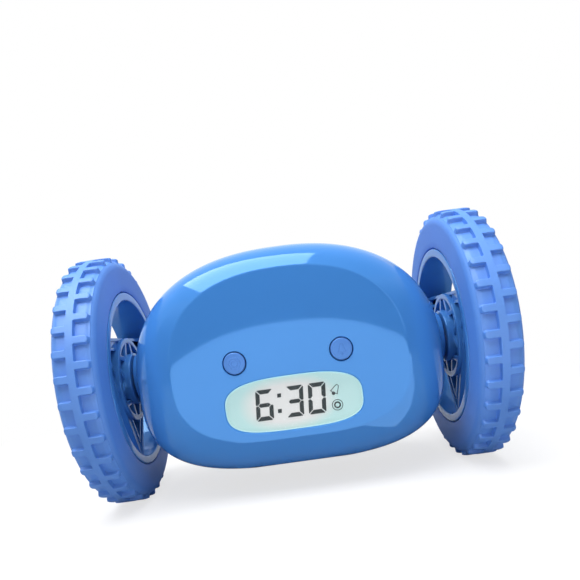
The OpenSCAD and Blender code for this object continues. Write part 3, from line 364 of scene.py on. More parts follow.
def skin_z(x, y, way):
    """Height of the roof (way 1) or of the underside (way -1) of the body over the point x, y."""
    share = body_share(y)
    b, n = (TOP, TOP_N) if way > 0 else (BOTTOM, BOTTOM_N)
    return middle_z(share) + way * b * share * (1 - (np.abs(x) / (HALF_W * share)) ** n).clip(0) ** (1 / n)


# %% [markdown]
# ## The two shells
#
# Each shell is one closed wall. The cross section of the front one starts in the middle of the
# face, runs over the low dome of the face to the crease, bends into the rim through a soft
# fillet, goes down the rim to the split plane and comes back along the inside. The crease is
# what one sees as a line: the reflections jump there. Carrying the section round the outline
# gives the whole shell. The rear one has an open ledge for its panel instead.

# %% Cross sections of the shells
SEAM, SEAM_Y, SEAM_LIP = 0.16, 0.05, 0.14
LEDGE, LEDGE_WALL, CREASE_SOFT = 0.024, 1.6, 0.011


def face_h(x, z):
    """Distance of the face surface from the split plane: crease + crown (1 - (share / face share)^2)."""
    return CREASE_Y + CROWN * (1 - (gauge(x, z, middle_z(FACE)) / FACE) ** 2)


def rear_h(x, z):
    """The same for the rear panel, with a lower crown."""
    return REAR_CREASE_Y + REAR_CROWN * (1 - (gauge(x, z, middle_z(REAR)) / REAR) ** 2)


def sweep_shell(name, section, way, closed=True):
    """Rings of (share, depth, inset, middle share); depth grows away from the split plane."""
    angle = around(AROUND)
    share, depth, inset, mid = np.asarray(section, float).T[:, :, None]
    r = share * radius_at(angle[None, :], inset)
    points = np.stack([r * np.cos(angle), way * depth + 0 * r, middle_z(mid) + r * np.sin(angle)], -1)
    return make_piece(name, points.reshape(-1, 3), grid_faces(len(section), AROUND, wrap_rows=closed), 28)


def front_section():
    """Section of the front shell from the middle of the face to the split plane and back inside. The fillet
    at the crease is a quadratic curve drawn to the corner."""
    dome = lambda share: CREASE_Y + CROWN * (1 - (share / FACE) ** 2)
    face = np.linspace(0, FACE - CREASE_SOFT, 40)
    rim = rim_curve(FACE, CREASE_Y, 46)[::-1]
    rim = rim[rim[:, 0] > FACE + CREASE_SOFT + 1e-4]
    before = np.array([FACE - CREASE_SOFT, dome(FACE - CREASE_SOFT)])
    after = np.array([FACE + CREASE_SOFT, float(rim_depth(CREASE_SOFT / (1 - FACE)))])
    t = np.linspace(0, 1, 8)[:, None]
    bend = (1 - t) ** 2 * before + 2 * t * (1 - t) * np.array([FACE, CREASE_Y]) + t ** 2 * after
    rows = [[r, dome(r), 0, FACE] for r in face[:-1]]
    rows += [[r, y, 0, max(r, FACE)] for r, y in bend]
    rows += [[r, max(y, SEAM_LIP), 0, r] for r, y in rim[:-1]]
    rows += [[1, SEAM_LIP, 0, 1], [1, SEAM_Y, SEAM, 1], [1, 0, SEAM, 1]]
    rows += [[r, y, WALL, r] for r, y in rim_curve(FACE + LEDGE, SEAT_Y - LEDGE_WALL, 18)]
    return rows + [[FACE - LEDGE, SEAT_Y - LEDGE_WALL, 0, FACE], [FACE - LEDGE, SEAT_Y, 0, FACE], [0, SEAT_Y, 0, FACE]]


def rear_section():
    """Section of the rear shell, with a quarter ellipse from the crest down to the crease of the panel."""
    outer = edge_curve(DEPTH, 44)
    outer[0, 1] = SEAM_LIP
    q = np.linspace(0, np.pi / 2, 13)[1:]
    dip = np.stack([REAR_CREST - (REAR_CREST - REAR) * np.sin(q),
                    REAR_CREASE_Y + (DEPTH - REAR_CREASE_Y) * np.cos(q)], 1)
    ledge = REAR - LEDGE
    rows = [[1, 0, SEAM, 1], [1, SEAM_Y, SEAM, 1]]
    rows += [[r, y, 0, r] for r, y in np.concatenate([outer, dip])]
    rows += [[REAR, REAR_SEAT_Y, 0, REAR], [ledge, REAR_SEAT_Y, 0, ledge], [ledge, REAR_SEAT_Y - LEDGE_WALL, 0, ledge]]
    return rows + [[r, y, WALL, r] for r, y in edge_curve(DEPTH - WALL - 0.2, 16)[::-1]]


# %% Sweep the shells
front_shell = sweep_shell("front_shell_skin", front_section(), -1, closed=False)
rear_shell = sweep_shell("rear_shell_skin", rear_section(), 1)
print("front shell faces:", len(front_shell.data.polygons))

# %% [markdown]
# ## The bearing necks, the holes and the screw tunnels
#
# A short round neck stands out of each side of the body and carries the wheel's bearing. Half of
# it belongs to each shell. The snooze bar, the battery door and the screws need holes: a cutter
# is a closed prism, and the cut is a true boolean, so that the wall shows its thickness.

# %% Necks, rods and cutters for the shells
NECK_R, NECK_X0, NECK_X1, BUSH_R = 9.0, 48.0, 55.3, 4.0
SNOOZE_W, SNOOZE_D, SNOOZE_BACK, SNOOZE_GAP = 36.0, 14.0, 2.0, 0.35
DOOR_HX, DOOR_HY, DOOR_R, DOOR_GAP = 22.4, 22.65, 3.0, 0.3
SCREWS = [(36, 17), (-36, 17), (36, -23), (-36, -23)]
SLEEVE_R, TUNNEL_R, POST_R = 3.8, 2.7, 2.2


def rounded_rectangle(hx, hy, r, per_corner=14):
    """Outline with corner radius r: quarter circles about the four inner corners, joined by straight sides."""
    t = (np.arange(4)[:, None] * 90 + np.linspace(0, 90, per_corner + 1)[None, :]) * np.pi / 180
    sx, sy = np.array([1, -1, -1, 1])[:, None], np.array([1, 1, -1, -1])[:, None]
    return np.stack([sx * (hx - r) + r * np.cos(t), sy * (hy - r) + r * np.sin(t)], -1).reshape(-1, 2)


def plan(offset_y=0.0):
    """Turns (u, v, height) into x = u, y = v + offset, z = height."""
    return lambda u, v, h: (u, v + offset_y, h)


def upright(u, v, h):
    """Turns (u, v, height) into x = u, z = v and height towards the viewer."""
    return u, -h, v


def neck(side, half):
    """Half turn of the neck's wall, in the front (half -1) or the rear (half 1) of the body."""
    section = rounded_profile([(BUSH_R, NECK_X0), (NECK_R + 1.1, NECK_X0), (NECK_R + 1.1, 51.2), (NECK_R, 53.6),
                               (NECK_R, NECK_X1), (BUSH_R, NECK_X1)], 0.5)
    a = np.linspace(0.001, np.pi - 0.001, 72) * half
    r, x = section.T[:, :, None]
    points = np.stack([side * x + 0 * a, r * np.sin(a), AXLE + r * np.cos(a)], -1)
    n, m = len(section), len(a)
    k = np.arange(1, n - 1)
    ends = [np.stack([0 * k, k, k + 1], 1) * m + last for last in (0, m - 1)]
    walls = halves(grid_faces(n, m, wrap_rows=True, wrap_columns=False))
    return make_piece("neck", points.reshape(-1, 3), np.concatenate([walls, *ends]))


def rod(name, r, y0, y1, x, z, turns=64):
    """Round rod along Y about x, z, with slightly rounded ends."""
    return slab(name, circle(x, z, r, turns), -y1, -y0, upright, 0.01)


def roof_and_floor_cutters():
    """Prisms that cut the holes of the snooze bar and of the battery door."""
    r = SNOOZE_D / 2 + SNOOZE_GAP
    bar = rounded_rectangle(SNOOZE_W / 2 + SNOOZE_GAP, r, r - 0.02)
    return [slab("cut_a", bar, 70.0, 90.0, plan(SNOOZE_BACK), 0.01),
            slab("cut_b", rounded_rectangle(DOOR_HX, DOOR_HY, DOOR_R), 5.0, 15.0, plan(), 0.01)]


def sleeve_end(x, z):
    """Deepest y at which a screw sleeve about x, z still ends inside the rear wall."""
    x, z = circle(x, z, SLEEVE_R, 32).T
    t = (gauge(x, z, middle_z(0.85)).max() - REAR_CREST) / (1 - REAR_CREST)
    return DEPTH * (1 - t ** EDGE_N) ** (1 / EDGE_N) - 1.0


# %% Cut and finish the rear shell
necks = [[neck(side, half) for side in (-1, 1)] for half in (-1, 1)]
front_shell = cut(front_shell, roof_and_floor_cutters())
rear_shell = cut(rear_shell, roof_and_floor_cutters())
sleeves = [rod("sleeve", SLEEVE_R, 0.2, sleeve_end(x, AXLE + z), x, AXLE + z) for x, z in SCREWS]
tunnels, hollows = ([rod(word, TUNNEL_R, 20.0, 40.0, x, AXLE + z) for x, z in SCREWS] for word in ("tunnel", "hollow"))
rear_shell = cut(rear_shell, tunnels)
sleeves = [cut(sleeve, [hollow]) for sleeve, hollow in zip(sleeves, hollows)]
rear_shell = join("rear_shell_skin", [rear_shell, *necks[1], *sleeves])
dress(rear_shell, "shell_blue", "chassis", "shell_blue", "rear_shell")

# %% [markdown]
# ## The window and the holes of the front buttons
#
# The window and the two button holes are cut out of the face with flared cutters: a cutter that
# widens near the surface leaves the small rounded lip that a moulded hole has.

# %% Plates and flared cutters
BUTTON_X, BUTTON_Z, BUTTON_R, BUTTON_GAP = 16.65, AXLE + 1.5, 3.4, 0.3
WINDOW_W, WINDOW_H, WINDOW_Z, WINDOW_COUNT = 43.3, 17.2, AXLE - 12.9, 192
WINDOW_TOP_N, WINDOW_LOW_N, WINDOW_LIP, BUTTON_LIP, CUT_DEEP = 2.86, 3.37, 0.4, 0.22, 2


def window_outline(grow):
    """Rounded form round the window's middle, with other exponents above and below."""
    a = around(WINDOW_COUNT)
    r = rounded(a, WINDOW_W / 2 + grow, WINDOW_H / 2 + grow, np.where(np.sin(a) >= 0, WINDOW_TOP_N, WINDOW_LOW_N))
    return np.stack([r * np.cos(a), WINDOW_Z + r * np.sin(a)], 1)


def rim_rows(share, edge, size):
    """Ring shares up to a rim that is rounded by edge, and how far each ring drops there."""
    bend = np.linspace(0, np.pi / 2, 5)
    inner = 1 - edge / size * (1 - np.sin(bend))
    share = share[share < inner[0] - 1e-6]
    return np.append(share, inner), np.append(0 * share, edge * (1 - np.cos(bend)))


def facing(flat, depth, way):
    """Points (x, way * depth, z) from flat (x, z)."""
    return np.stack([flat[..., 0], way * depth, flat[..., 1]], -1)


def domed_plate(name, outline, middle, height, back, way=-1, rings=44, edge=0.3):
    """Plate over an outline in x and z: rings shrink to the middle, the front follows height(x, z), the
    rim is rounded by edge, and the back follows back(x, z)."""
    middle = np.asarray(middle, float)
    out = np.asarray(outline, float) - middle
    share, drop = rim_rows(np.linspace(0, 1, rings + 1)[1:] ** 0.9, edge, np.linalg.norm(out, axis=1).mean())
    flat, tail = middle + out[None] * share[:, None, None], middle + out[None] * np.array([[[1.0]], [[0.96]]])
    front, behind = height(flat[..., 0], flat[..., 1]) - drop[:, None], back(tail[..., 0], tail[..., 1])
    points = facing(np.concatenate([flat, tail]), np.concatenate([front, behind]), way)
    tips = facing(np.stack([middle] * 2), np.array([float(height(*middle)), behind.mean()]), way)
    return tube(name, points, tips, 30)


def flared_cutter(name, outline_at, height, deep, lip, way=-1):
    """Closed plug along Y whose outline grows by lip where it passes the surface: outline_at(grow) rows."""
    grow = np.array([0, 0, 0.08, 0.3, 0.6, 1.0, 1.0]) * lip
    under = np.array([0, 1.0, 0.7, 0.3, 0.08, 0, -8]) * lip
    flat = np.stack([outline_at(g) for g in grow])
    y = height(flat[..., 0], flat[..., 1]) - under[:, None]
    y[0] = deep
    tips = facing(np.stack([flat[0].mean(0)] * 2), np.array([deep, y[-1].max()]), way)
    return tube(name, facing(flat, y, way), tips)


# %% Cut the face
holes = [flared_cutter("window_cut", window_outline, face_h, SEAT_Y - CUT_DEEP, WINDOW_LIP)]
holes += [flared_cutter("button_cut", lambda g, s=s: circle(s * BUTTON_X, BUTTON_Z, BUTTON_R + BUTTON_GAP + g),
                        face_h, SEAT_Y - CUT_DEEP, BUTTON_LIP) for s in (-1, 1)]
front_shell = cut(front_shell, holes)
posts = [rod("post", POST_R, -SEAT_Y - 0.05, -21.5, x, AXLE + z) for x in (-25.5, 25.5) for z in (-16, 12.5)]
front_shell = join("front_shell_skin", [front_shell, *necks[0], *posts])
dress(front_shell, "shell_blue", "chassis", "shell_blue", "front_shell", "face_panel")

# %% [markdown]
# ## The rear panel
#
# The panel on the back has the sound holes of the loudspeaker, in rings of 1, 6, 12 and 18, and
# the holes of four set buttons. It is the same kind of dome as the face, only flatter. All the
# holes are cut in one go, each with its own small lip.

# %% Rear panel with sound holes and button holes
SPEAKER_Z, SOUND_R, SOUND_PITCH = AXLE + 9, 0.8, 3.1
SET_Z, SET_R, SET_PITCH, REAR_LIP, PANEL_GAP = AXLE - 12, 2.3, 10.0, 0.15, 0.1


def sound_places():
    """Middles of the sound holes: ring k has 6 k holes at k pitches, turned by 15 k degrees."""
    places = [(0.0, SPEAKER_Z)]
    for ring in (1, 2, 3):
        a = around(6 * ring) + math.radians(15 * ring)
        places += list(zip(SOUND_PITCH * ring * np.cos(a), SPEAKER_Z + SOUND_PITCH * ring * np.sin(a)))
    return places


a, r = around(AROUND), REAR * radius_at(around(AROUND)) - PANEL_GAP
rear = domed_plate("rear_panel_skin", np.stack([r * np.cos(a), middle_z(REAR) + r * np.sin(a)], 1),
                   (0, middle_z(REAR)), rear_h, lambda x, z: REAR_SEAT_Y + 0 * x, way=1)
deep = REAR_SEAT_Y - CUT_DEEP
holes = [flared_cutter("sound_hole", lambda g, p=p: circle(*p, SOUND_R + g, 24), rear_h, deep, REAR_LIP, 1)
         for p in sound_places()]
set_places = [(k - 1.5) * SET_PITCH for k in range(4)]
holes += [flared_cutter("set_hole", lambda g, x=x: circle(x, SET_Z, SET_R + BUTTON_GAP + g, 48), rear_h, deep,
                        REAR_LIP, 1) for x in set_places]
dress(cut(rear, holes), "shell_blue", "chassis", "shell_blue", "rear_panel")

# %% [markdown]
# ## Buttons
#
# Each front button is a low dome with a rounded edge and a raised sign on it: a small wheel on
# the left one and a bell on the right one. The signs are thin ridges, a half round profile
# carried along a path that lies on the dome. A bump texture would be cheaper, but a ridge of its
# own also shows in the mesh. The four set buttons are marked with one to four dots.

# %% A ridge along a path, and the outline of a bell
BELL_SIZE = 2.1


def ridge(name, path, width, height, surface, way=-1, closed=True):
    """Half round ridge: at each path point the profile (w cos t, h sin t) stands across the path."""
    path = np.asarray(path, float)
    ahead = (np.roll(path, -1, 0) - np.roll(path, 1, 0)) if closed else np.gradient(path, axis=0)
    ahead /= np.linalg.norm(ahead, axis=1, keepdims=True) + 1e-12
    across = np.stack([ahead[:, 1], -ahead[:, 0]], 1)
    t = around(12)
    flat = path[:, None] + across[:, None] * (width / 2 * np.cos(t))[None, :, None]
    y = surface(flat[..., 0], flat[..., 1]) + height * np.where(np.sin(t) > 0, np.sin(t), 0.6 * np.sin(t))
    faces = halves(grid_faces(len(path), 12, wrap_rows=closed))
    if not closed:
        k = np.arange(1, 11)
        fan = np.stack([0 * k, k, k + 1], 1)
        faces = np.concatenate([faces, fan, fan + (len(path) - 1) * 12])
    return make_piece(name, facing(flat, y, way).reshape(-1, 3), faces, 50)


def bell_path():
    """Outline of a bell about 0, 0: a flared curve from the rim up one side, a crown, and down again."""
    t, a = np.linspace(0, 1, 15), np.linspace(np.pi - 0.2, 0.2, 7)
    side = np.stack([0.22 + 0.30 * t ** 2.6 + 0.12 * np.sin(np.pi * t), 0.62 - 1.05 * t], 1)
    crown = np.stack([0.22 * np.cos(a), 0.62 + 0.16 * np.sin(a)], 1)
    return np.concatenate([(side * [-1, 1])[::-1], crown, side]) * BELL_SIZE


# %% Front buttons
BUTTON_RISE, BUTTON_CROWN, STEM_R, STEM_Y, SIGN_R, SIGN_WAVE, SIGN_HUB_R = 0.6, 0.28, 1.5, 26.25, 1.75, 0.10, 0.95
FLANGE_OUT, FLANGE_TOP, FLANGE_LOW = 1, 0.1, 0.9


def front_button(name, node, side):
    """Dome of the button, flange and stem, with its raised sign; the dome falls with the square of the
    distance from the button's middle."""
    x, z = side * BUTTON_X, BUTTON_Z
    top = float(face_h(x, z)) + BUTTON_RISE
    dome = lambda u, v: top - BUTTON_CROWN * (((u - x) ** 2 + (v - z) ** 2) / BUTTON_R ** 2)
    cap = domed_plate(name, circle(x, z, BUTTON_R), (x, z), dome, lambda u, v: SEAT_Y - FLANGE_LOW + 0 * u,
                      rings=20, edge=0.32)
    flange = rod("flange", BUTTON_R + FLANGE_OUT, -SEAT_Y + FLANGE_TOP, -SEAT_Y + FLANGE_LOW, x, z)
    stem = rod("stem", STEM_R, -SEAT_Y + FLANGE_TOP, -STEM_Y, x, z, 32)
    if side < 0:
        a = around(96)
        r = SIGN_R + SIGN_WAVE * np.cos(6 * a)
        signs = [ridge("sign", np.stack([x + r * np.cos(a), z + r * np.sin(a)], 1), 0.30, 0.09, dome),
                 ridge("sign", circle(x, z, SIGN_HUB_R, 48), 0.26, 0.08, dome)]
    else:
        base = np.array([[-1.45, -0.98], [-0.5, -1.02], [0.5, -1.02], [1.45, -0.98]]) + [x, z]
        signs = [ridge("sign", path, 0.26, 0.09, dome, closed=False) for path in (bell_path() + [x, z], base)]
        signs.append(ridge("sign", circle(x, z - 1.5, 0.28, 24), 0.24, 0.08, dome))
    dress(join(name, [cap, flange, stem, *signs]), "button_blue", node, "button_blue", node)


front_button("wheel_button_cap", "wheel_button", -1)
front_button("alarm_button_cap", "alarm_button", 1)

# %% Set buttons on the rear panel
SET_TOP_Y, SET_CROWN, SET_STEM_Y, SET_FLANGE_OUT, DOT_R, DOT_PITCH = 32.8, 0.25, 28.45, 0.8, 0.14, 0.85
for k, node in enumerate(("hour_button", "minute_button", "time_button", "alarm_set_button")):
    mid = set_places[k]
    dome = lambda u, v, m=mid: SET_TOP_Y - SET_CROWN * (((u - m) ** 2 + (v - SET_Z) ** 2) / SET_R ** 2)
    parts = [domed_plate("cap", circle(mid, SET_Z, SET_R, 64), (mid, SET_Z), dome,
                         lambda u, v: REAR_SEAT_Y - FLANGE_LOW + 0 * u, way=1, rings=12, edge=0.25),
             rod("flange", SET_R + SET_FLANGE_OUT, REAR_SEAT_Y - FLANGE_LOW, REAR_SEAT_Y - FLANGE_TOP, mid, SET_Z),
             rod("stem", STEM_R, SET_STEM_Y, REAR_SEAT_Y - FLANGE_TOP, mid, SET_Z, 32)]
    parts += [ridge("dot", circle(mid + (i - k / 2) * DOT_PITCH, SET_Z, DOT_R, 16), 0.24, 0.08, dome, way=1)
              for i in range(k + 1)]
    dress(join(node + "_cap", parts), "set_white", node, "set_button_white", node)

# %% [markdown]
# ## The snooze bar and the battery door
#
# The snooze bar follows the roof of the body, with a rounded edge and three raised ridges that a
# sleepy hand can find. The battery door closes the underside: it follows the bottom surface and
# has a row of ribs to push it by.

# %% Plates that follow the roof and the underside
PLATE_EDGE, RIDGE_W = 0.35, 0.9


def following_plate(outline, middle, thickness, way, rings=30):
    """Plate over an outline in x and y. Its section runs from the middle to the rim, which is rounded by
    PLATE_EDGE, and back at the depth thickness, always below the skin of the body."""
    out = np.asarray(outline, float) - middle
    share, drop = rim_rows(np.linspace(0, 1, rings + 1)[1:], PLATE_EDGE, np.linalg.norm(out, axis=1).min())
    share = np.concatenate([share, [1.0], share[::-1][4:]])
    drop = np.append(drop, np.full(len(share) - len(drop), thickness))
    flat = middle + out[None] * share[:, None, None]
    z = skin_z(flat[..., 0], flat[..., 1], way) - way * drop[:, None]
    top = float(skin_z(*middle, way))
    tips = np.array([[*middle, top], [*middle, top - way * thickness]])
    return tube("plate", np.concatenate([flat, z[..., None]], -1), tips)


def lying_ridge(half_length, y, height, way, count):
    """The same half round ridge along X at y, made with its height along Y and then laid on the skin."""
    x = np.linspace(-half_length, half_length, count)
    path, skin = np.stack([x, 0 * x + y], 1), lambda u, v: way * skin_z(u, v, way)
    piece = ridge("ridge", path, RIDGE_W, height, skin, way=1, closed=False)
    piece.data.transform(Matrix(((1, 0, 0, 0), (0, 0, 1, 0), (0, way, 0, 0), (0, 0, 0, 1))))
    return close_up(piece, 50)


# %% Snooze bar
SNOOZE_T, SNOOZE_STEM_R, SNOOZE_STEM_Z, SNOOZE_RIDGES, SNOOZE_RIDGE_H = 2.4, 2.5, (74.25, 81.0), (-1.6, 0, 1.6), 0.28
outline = rounded_rectangle(SNOOZE_W / 2, SNOOZE_D / 2, SNOOZE_D / 2 - 0.02, 20) + [0, SNOOZE_BACK]
parts = [following_plate(outline, (0.0, SNOOZE_BACK), SNOOZE_T, 1),
         slab("stem", circle(0, SNOOZE_BACK, SNOOZE_STEM_R, 48), *SNOOZE_STEM_Z, plan(), 0.1)]
parts += [lying_ridge(9, SNOOZE_BACK + d, SNOOZE_RIDGE_H, 1, 60) for d in SNOOZE_RIDGES]
dress(join("snooze_bar", parts), "button_blue", "snooze_button", "button_blue", "snooze_button")

# %% Battery door with its ribs and clip tongues
DOOR_T, GRIP_Y, GRIP_PITCH, GRIP_H = 1.8, 13.5, 1.7, 0.35
TONGUE_X, TONGUE_HALF, TONGUE_TOP, TONGUE_INSET = 11.2, 1, 15.75, 0.9
outline = rounded_rectangle(DOOR_HX - DOOR_GAP, DOOR_HY - DOOR_GAP, DOOR_R - DOOR_GAP, 10)
parts = [following_plate(outline, (0.0, 0.0), DOOR_T, -1, rings=40)]
parts += [lying_ridge(6, GRIP_Y + GRIP_PITCH * k, GRIP_H, -1, 40) for k in range(4)]
for x in (-TONGUE_X, TONGUE_X):
    for low, high, bottom in ((-22.35, -20.65, None), (-24.05, -20.65, 14.75), (20.65, 22.35, None)):
        bottom = bottom or float(skin_z(x, max(low, high, key=abs), -1)) + TONGUE_INSET
        foot = [(x + side * TONGUE_HALF, y) for side, y in ((-1, low), (1, low), (1, high), (-1, high))]
        parts.append(slab("tongue", foot, bottom, TONGUE_TOP, plan(), 0.1))
dress(join("battery_door_skin", parts), "shell_blue", "chassis", "shell_blue", "battery_door")

# %% [markdown]
# ## The display
#
# Behind the window lies a reflective liquid crystal display: a pale sheet, grey white in the
# middle and mint green round it, with dark strokes. The sheet glows with a painted light, and a
# thin ring of the same glowing colour lines the window, so that its walls show no shaded recess.
# Each vertex keeps its share of the way to the rim in an attribute, which a colour ramp turns
# into the soft change from grey to mint. In front lies a clear pane whose cut edge is a painted
# highlight: there it turns opaque and glows cyan.

# %% Attributes that follow the place on the display
GREY_MIDDLE, GREY_HALF, GREY_N = (-0.08, -0.03), (0.66, 0.9), 2.4


def keep(piece, name, measure):
    """Attribute of a name with the value measure(u, v) of each vertex, u and v from -1 to 1 over the window."""
    co = np.empty(len(piece.data.vertices) * 3)
    piece.data.vertices.foreach_get("co", co)
    x, y, z = co.reshape(-1, 3).T / MM
    value = measure(x / (WINDOW_W / 2), (z - WINDOW_Z) / (WINDOW_H / 2))
    piece.data.attributes.new(name, "FLOAT", "POINT").data.foreach_set("value", value)


def mint_share(u, v):
    """Rounded form round the grey middle: 0 in the middle and 2/3 where grey has turned to mint."""
    sides = [(np.abs(w - middle) / half) ** GREY_N for w, middle, half in zip((u, v), GREY_MIDDLE, GREY_HALF)]
    return sum(sides) ** (1 / GREY_N) / 1.5


def rim_distance(u, v):
    """Distance from the window's rim in mm: (1 - s) / slope of s, with s = (|u|^n + |v|^n)^(1/n)."""
    n = np.where(v >= 0, WINDOW_TOP_N, WINDOW_LOW_N)
    u, v = np.abs(u) + 1e-6, np.abs(v) + 1e-6
    s = (u ** n + v ** n) ** (1 / n)
    slope = s ** (1 - n) * np.hypot(u ** (n - 1) / (WINDOW_W / 2), v ** (n - 1) / (WINDOW_H / 2))
    return ((1 - s) / slope).clip(0, 1)


# %% A sheet and a clear pane with a painted glow, whose colour and veil follow an attribute
def painted_glow_material(name, attribute, stops, roughness, matt, painted_glow, veil_range=None):
    """The ramp over the attribute gives a painted glow as emission and, made darker by matt, the lit colour."""
    material = finish(name, stops[0][1], roughness, grain=600.0, bump=0.0, vary=0.0, specular=0.3)
    shader = material.node_tree.nodes["Principled BSDF"]
    share, ramp, darker = new_nodes(material, "Attribute", "ValToRGB", "Mix")
    share.attribute_name = attribute
    for spare in stops[2:]:
        ramp.color_ramp.elements.new(0.5)
    for element, (at, colour) in reversed(list(zip(ramp.color_ramp.elements, stops))):
        element.position, element.color = at, (*colour, 1)
    darker.data_type, darker.blend_type = "RGBA", "MULTIPLY"
    put(shader, {"Emission Strength": painted_glow})
    put(darker, {0: 1.0, 7: (matt, matt, matt, 1)})
    connect(material, (share, "Fac", ramp, "Fac"), (ramp, "Color", darker, 6), (darker, 2, shader, "Base Color"),
            (ramp, "Color", shader, "Emission Color"))
    if veil_range:
        veil, = new_nodes(material, "MapRange")
        put(veil, dict(zip(("From Min", "From Max", "To Min", "To Max"), veil_range)))
        connect(material, (share, "Fac", veil, "Value"), (veil, "Result", shader, "Alpha"))
    return material


GREY, PALE_MINT, MINT = srgb(220, 219, 218), srgb(202, 216, 214), srgb(181, 216, 215)
# These two cyans paint a highlight on the pane's cut edge.
PAINTED_EDGE_CYAN, PAINTED_EDGE_PALE_CYAN = srgb(140, 226, 246), srgb(200, 240, 248)
# The sheet's emission is a painted glow: a reflective display gives no light of its own.
FINISH["sheet_mint"] = painted_glow_material("sheet_mint", "mint_share", [(0.50, GREY), (0.62, PALE_MINT), (0.75, MINT)],
                                     0.5, matt=0.35, painted_glow=0.68)
# The pane's glow, opaque only near its rim, is a painted highlight of the cut edge.
FINISH["pane_clear"] = painted_glow_material("pane_clear", "rim_distance", [(0.0, PAINTED_EDGE_CYAN), (0.3, PAINTED_EDGE_PALE_CYAN)],
                                     0.08, matt=0.5, painted_glow=0.6, veil_range=(0.14, 0.34, 0.8, 0.02))

# %% Sheet, lining ring and pane
SHEET_Y, SHEET_T, INK_LOW, INK_HIGH, LINING_Y, PANE_SINK, PANE_BACK = 29.47, 0.16, 29.48, 29.68, 30.7, 0.12, 1.15
sheet = domed_plate("display_sheet", window_outline(-0.04), (0, WINDOW_Z), lambda x, z: SHEET_Y + 0 * x,
                    lambda x, z: SHEET_Y - SHEET_T + 0 * x, rings=40, edge=0.03)
# The lining ring carries the sheet's painted glow over the window's walls, which would otherwise show as a shaded
# recess.
rows = [facing(window_outline(grow), depth + np.zeros(WINDOW_COUNT), -1)
        for grow, depth in ((-0.05, INK_LOW), (-0.05, LINING_Y), (-0.2, LINING_Y), (-0.2, INK_LOW))]
painted_glow_lining = make_piece("display_frame", np.concatenate(rows), grid_faces(4, WINDOW_COUNT, wrap_rows=True))
for piece in (sheet, painted_glow_lining):
    keep(piece, "mint_share", mint_share)
    dress(piece, "sheet_mint", "chassis", "display_grey")
# Nearly clear in the middle; at the rim the pane is opaque and glows cyan, a painted edge highlight.
pane = domed_plate("display_pane", window_outline(-0.06), (0, WINDOW_Z), lambda x, z: face_h(x, z) - PANE_SINK,
                   lambda x, z: face_h(x, z) - PANE_BACK, rings=60, edge=0.2)
keep(pane, "rim_distance", rim_distance)
dress(pane, "pane_clear", "chassis", "clear_lens", "display_lens")

# %% [markdown]
# ## The strokes of the display
#
# A seven stroke digit is drawn once as polygons: upright and lying strokes meet at mitred ends
# with a thin gap, the outer corners are cut, and the middle stroke is a long hexagon. The other
# strokes are mirror images, and the digits lean a little to the right. The colon is two squares,
# and the two signs, a bell and a ring, are thin ridges.

# %% Digits and colon
DIGIT_W, DIGIT_H, STROKE, GAP, CUT, LEAN = 5.55, 9.8, 1.32, 0.2, 0.55, 0.088
STROKES = {0: ("top", 1, 1), 1: ("side", 1, 1), 2: ("side", 1, -1), 3: ("top", 1, -1), 4: ("side", -1, -1),
           5: ("side", -1, 1), 6: ("middle", 1, 1)}
DIGITS = [((0, 2, 3, 4, 5, 6), -9.38), ((0, 1, 2, 3, 6), 0.23), ((0, 1, 2, 3, 4, 5), 7.3)]
COLON_X, COLON_HALF, INK_EDGE, SIGN_RISE = -4.65, 0.62, 0.015, 0.05


def stroke_outline(kind):
    """Polygon of the top, upper right or middle stroke of a digit about 0, 0."""
    a, b, s, k, c = DIGIT_W / 2, DIGIT_H / 2, STROKE, GAP, CUT
    q = (c - k) / 2
    if kind == "top":
        right = [(a - c, b), (a - k - q, b - q), (a - s - k, b - s)]
        return np.array(right + [(-x, z) for x, z in right[::-1]])
    if kind == "side":
        return np.array([(a - s, b - s - k), (a - q, b - k - q), (a, b - c), (a, k + 0.15), (a - 0.25, k * 0.6),
                         (a - s * 0.55, k * 0.6), (a - s, s / 2 + k * 0.8)])
    h = s / 2 - 0.04
    right = [(a - s - k * 0.6, h), (a - s * 0.5 - k, 0), (a - s - k * 0.6, -h)]
    return np.array(right + [(-x, -z) for x, z in right])


def leaning(outline, x):
    """Inked plate: the outline about 0, 0 leant to the right by LEAN of its height and put at x."""
    placed = np.stack([outline[:, 0] + LEAN * outline[:, 1] + x, outline[:, 1] + WINDOW_Z], 1)
    return slab("stroke", placed, INK_LOW, INK_HIGH, upright, INK_EDGE)


ink = [leaning(stroke_outline(STROKES[k][0]) * STROKES[k][1:], x) for shown, x in DIGITS for k in shown]
square = np.array([(-1, -1), (1, -1), (1, 1), (-1, 1)]) * COLON_HALF
ink += [leaning(square + [0, z * DIGIT_H / 4], COLON_X) for z in (-1, 1)]

# %% Bell and ring signs
BELL_AT, RING_AT, BELL_TILT = (13.3, AXLE - 11.0), (13.4, AXLE - 15.9), math.radians(-32)
ink_level = lambda u, v: INK_HIGH - 0.06 + 0 * u
c, s = math.cos(BELL_TILT), math.sin(BELL_TILT)
bell, mouth, clapper = (np.array(flat) @ [[c, s], [-s, c]] + BELL_AT for flat in (
    bell_path(), [[-1.32, -0.95], [-0.45, -1.05], [0.45, -1.05], [1.32, -0.95]], [0.0, -1.3]))
ink += [ridge("bell", bell, 0.22, SIGN_RISE, ink_level, closed=False),
        ridge("mouth", mouth, 0.2, SIGN_RISE, ink_level, closed=False),
        slab("clapper", circle(*clapper, 0.55, 24), INK_LOW, INK_HIGH, upright, 0.02)]
ink += [ridge("ring", circle(*RING_AT, r, 64), w, SIGN_RISE, ink_level) for r, w in ((1.66, 0.22), (0.86, 0.46))]
dress(join("display_strokes", ink), "segment_dark", "chassis", "segment_grey", "display_segments")

# %% [markdown]
# ## The tyres
#
# The tyre is a rubber ring with a rib round its middle and rounded bars to both sides, staggered
# by half a pitch. It is made as one height field: the radius is a function of the place across
# the tread and of the angle. A rounded box distance says how far a point is from the edge of the
# nearest bar, and a smooth step turns that distance into the wall of the bar. Booleans of 72 bars
# would give the same form with hard edges and far worse shading.

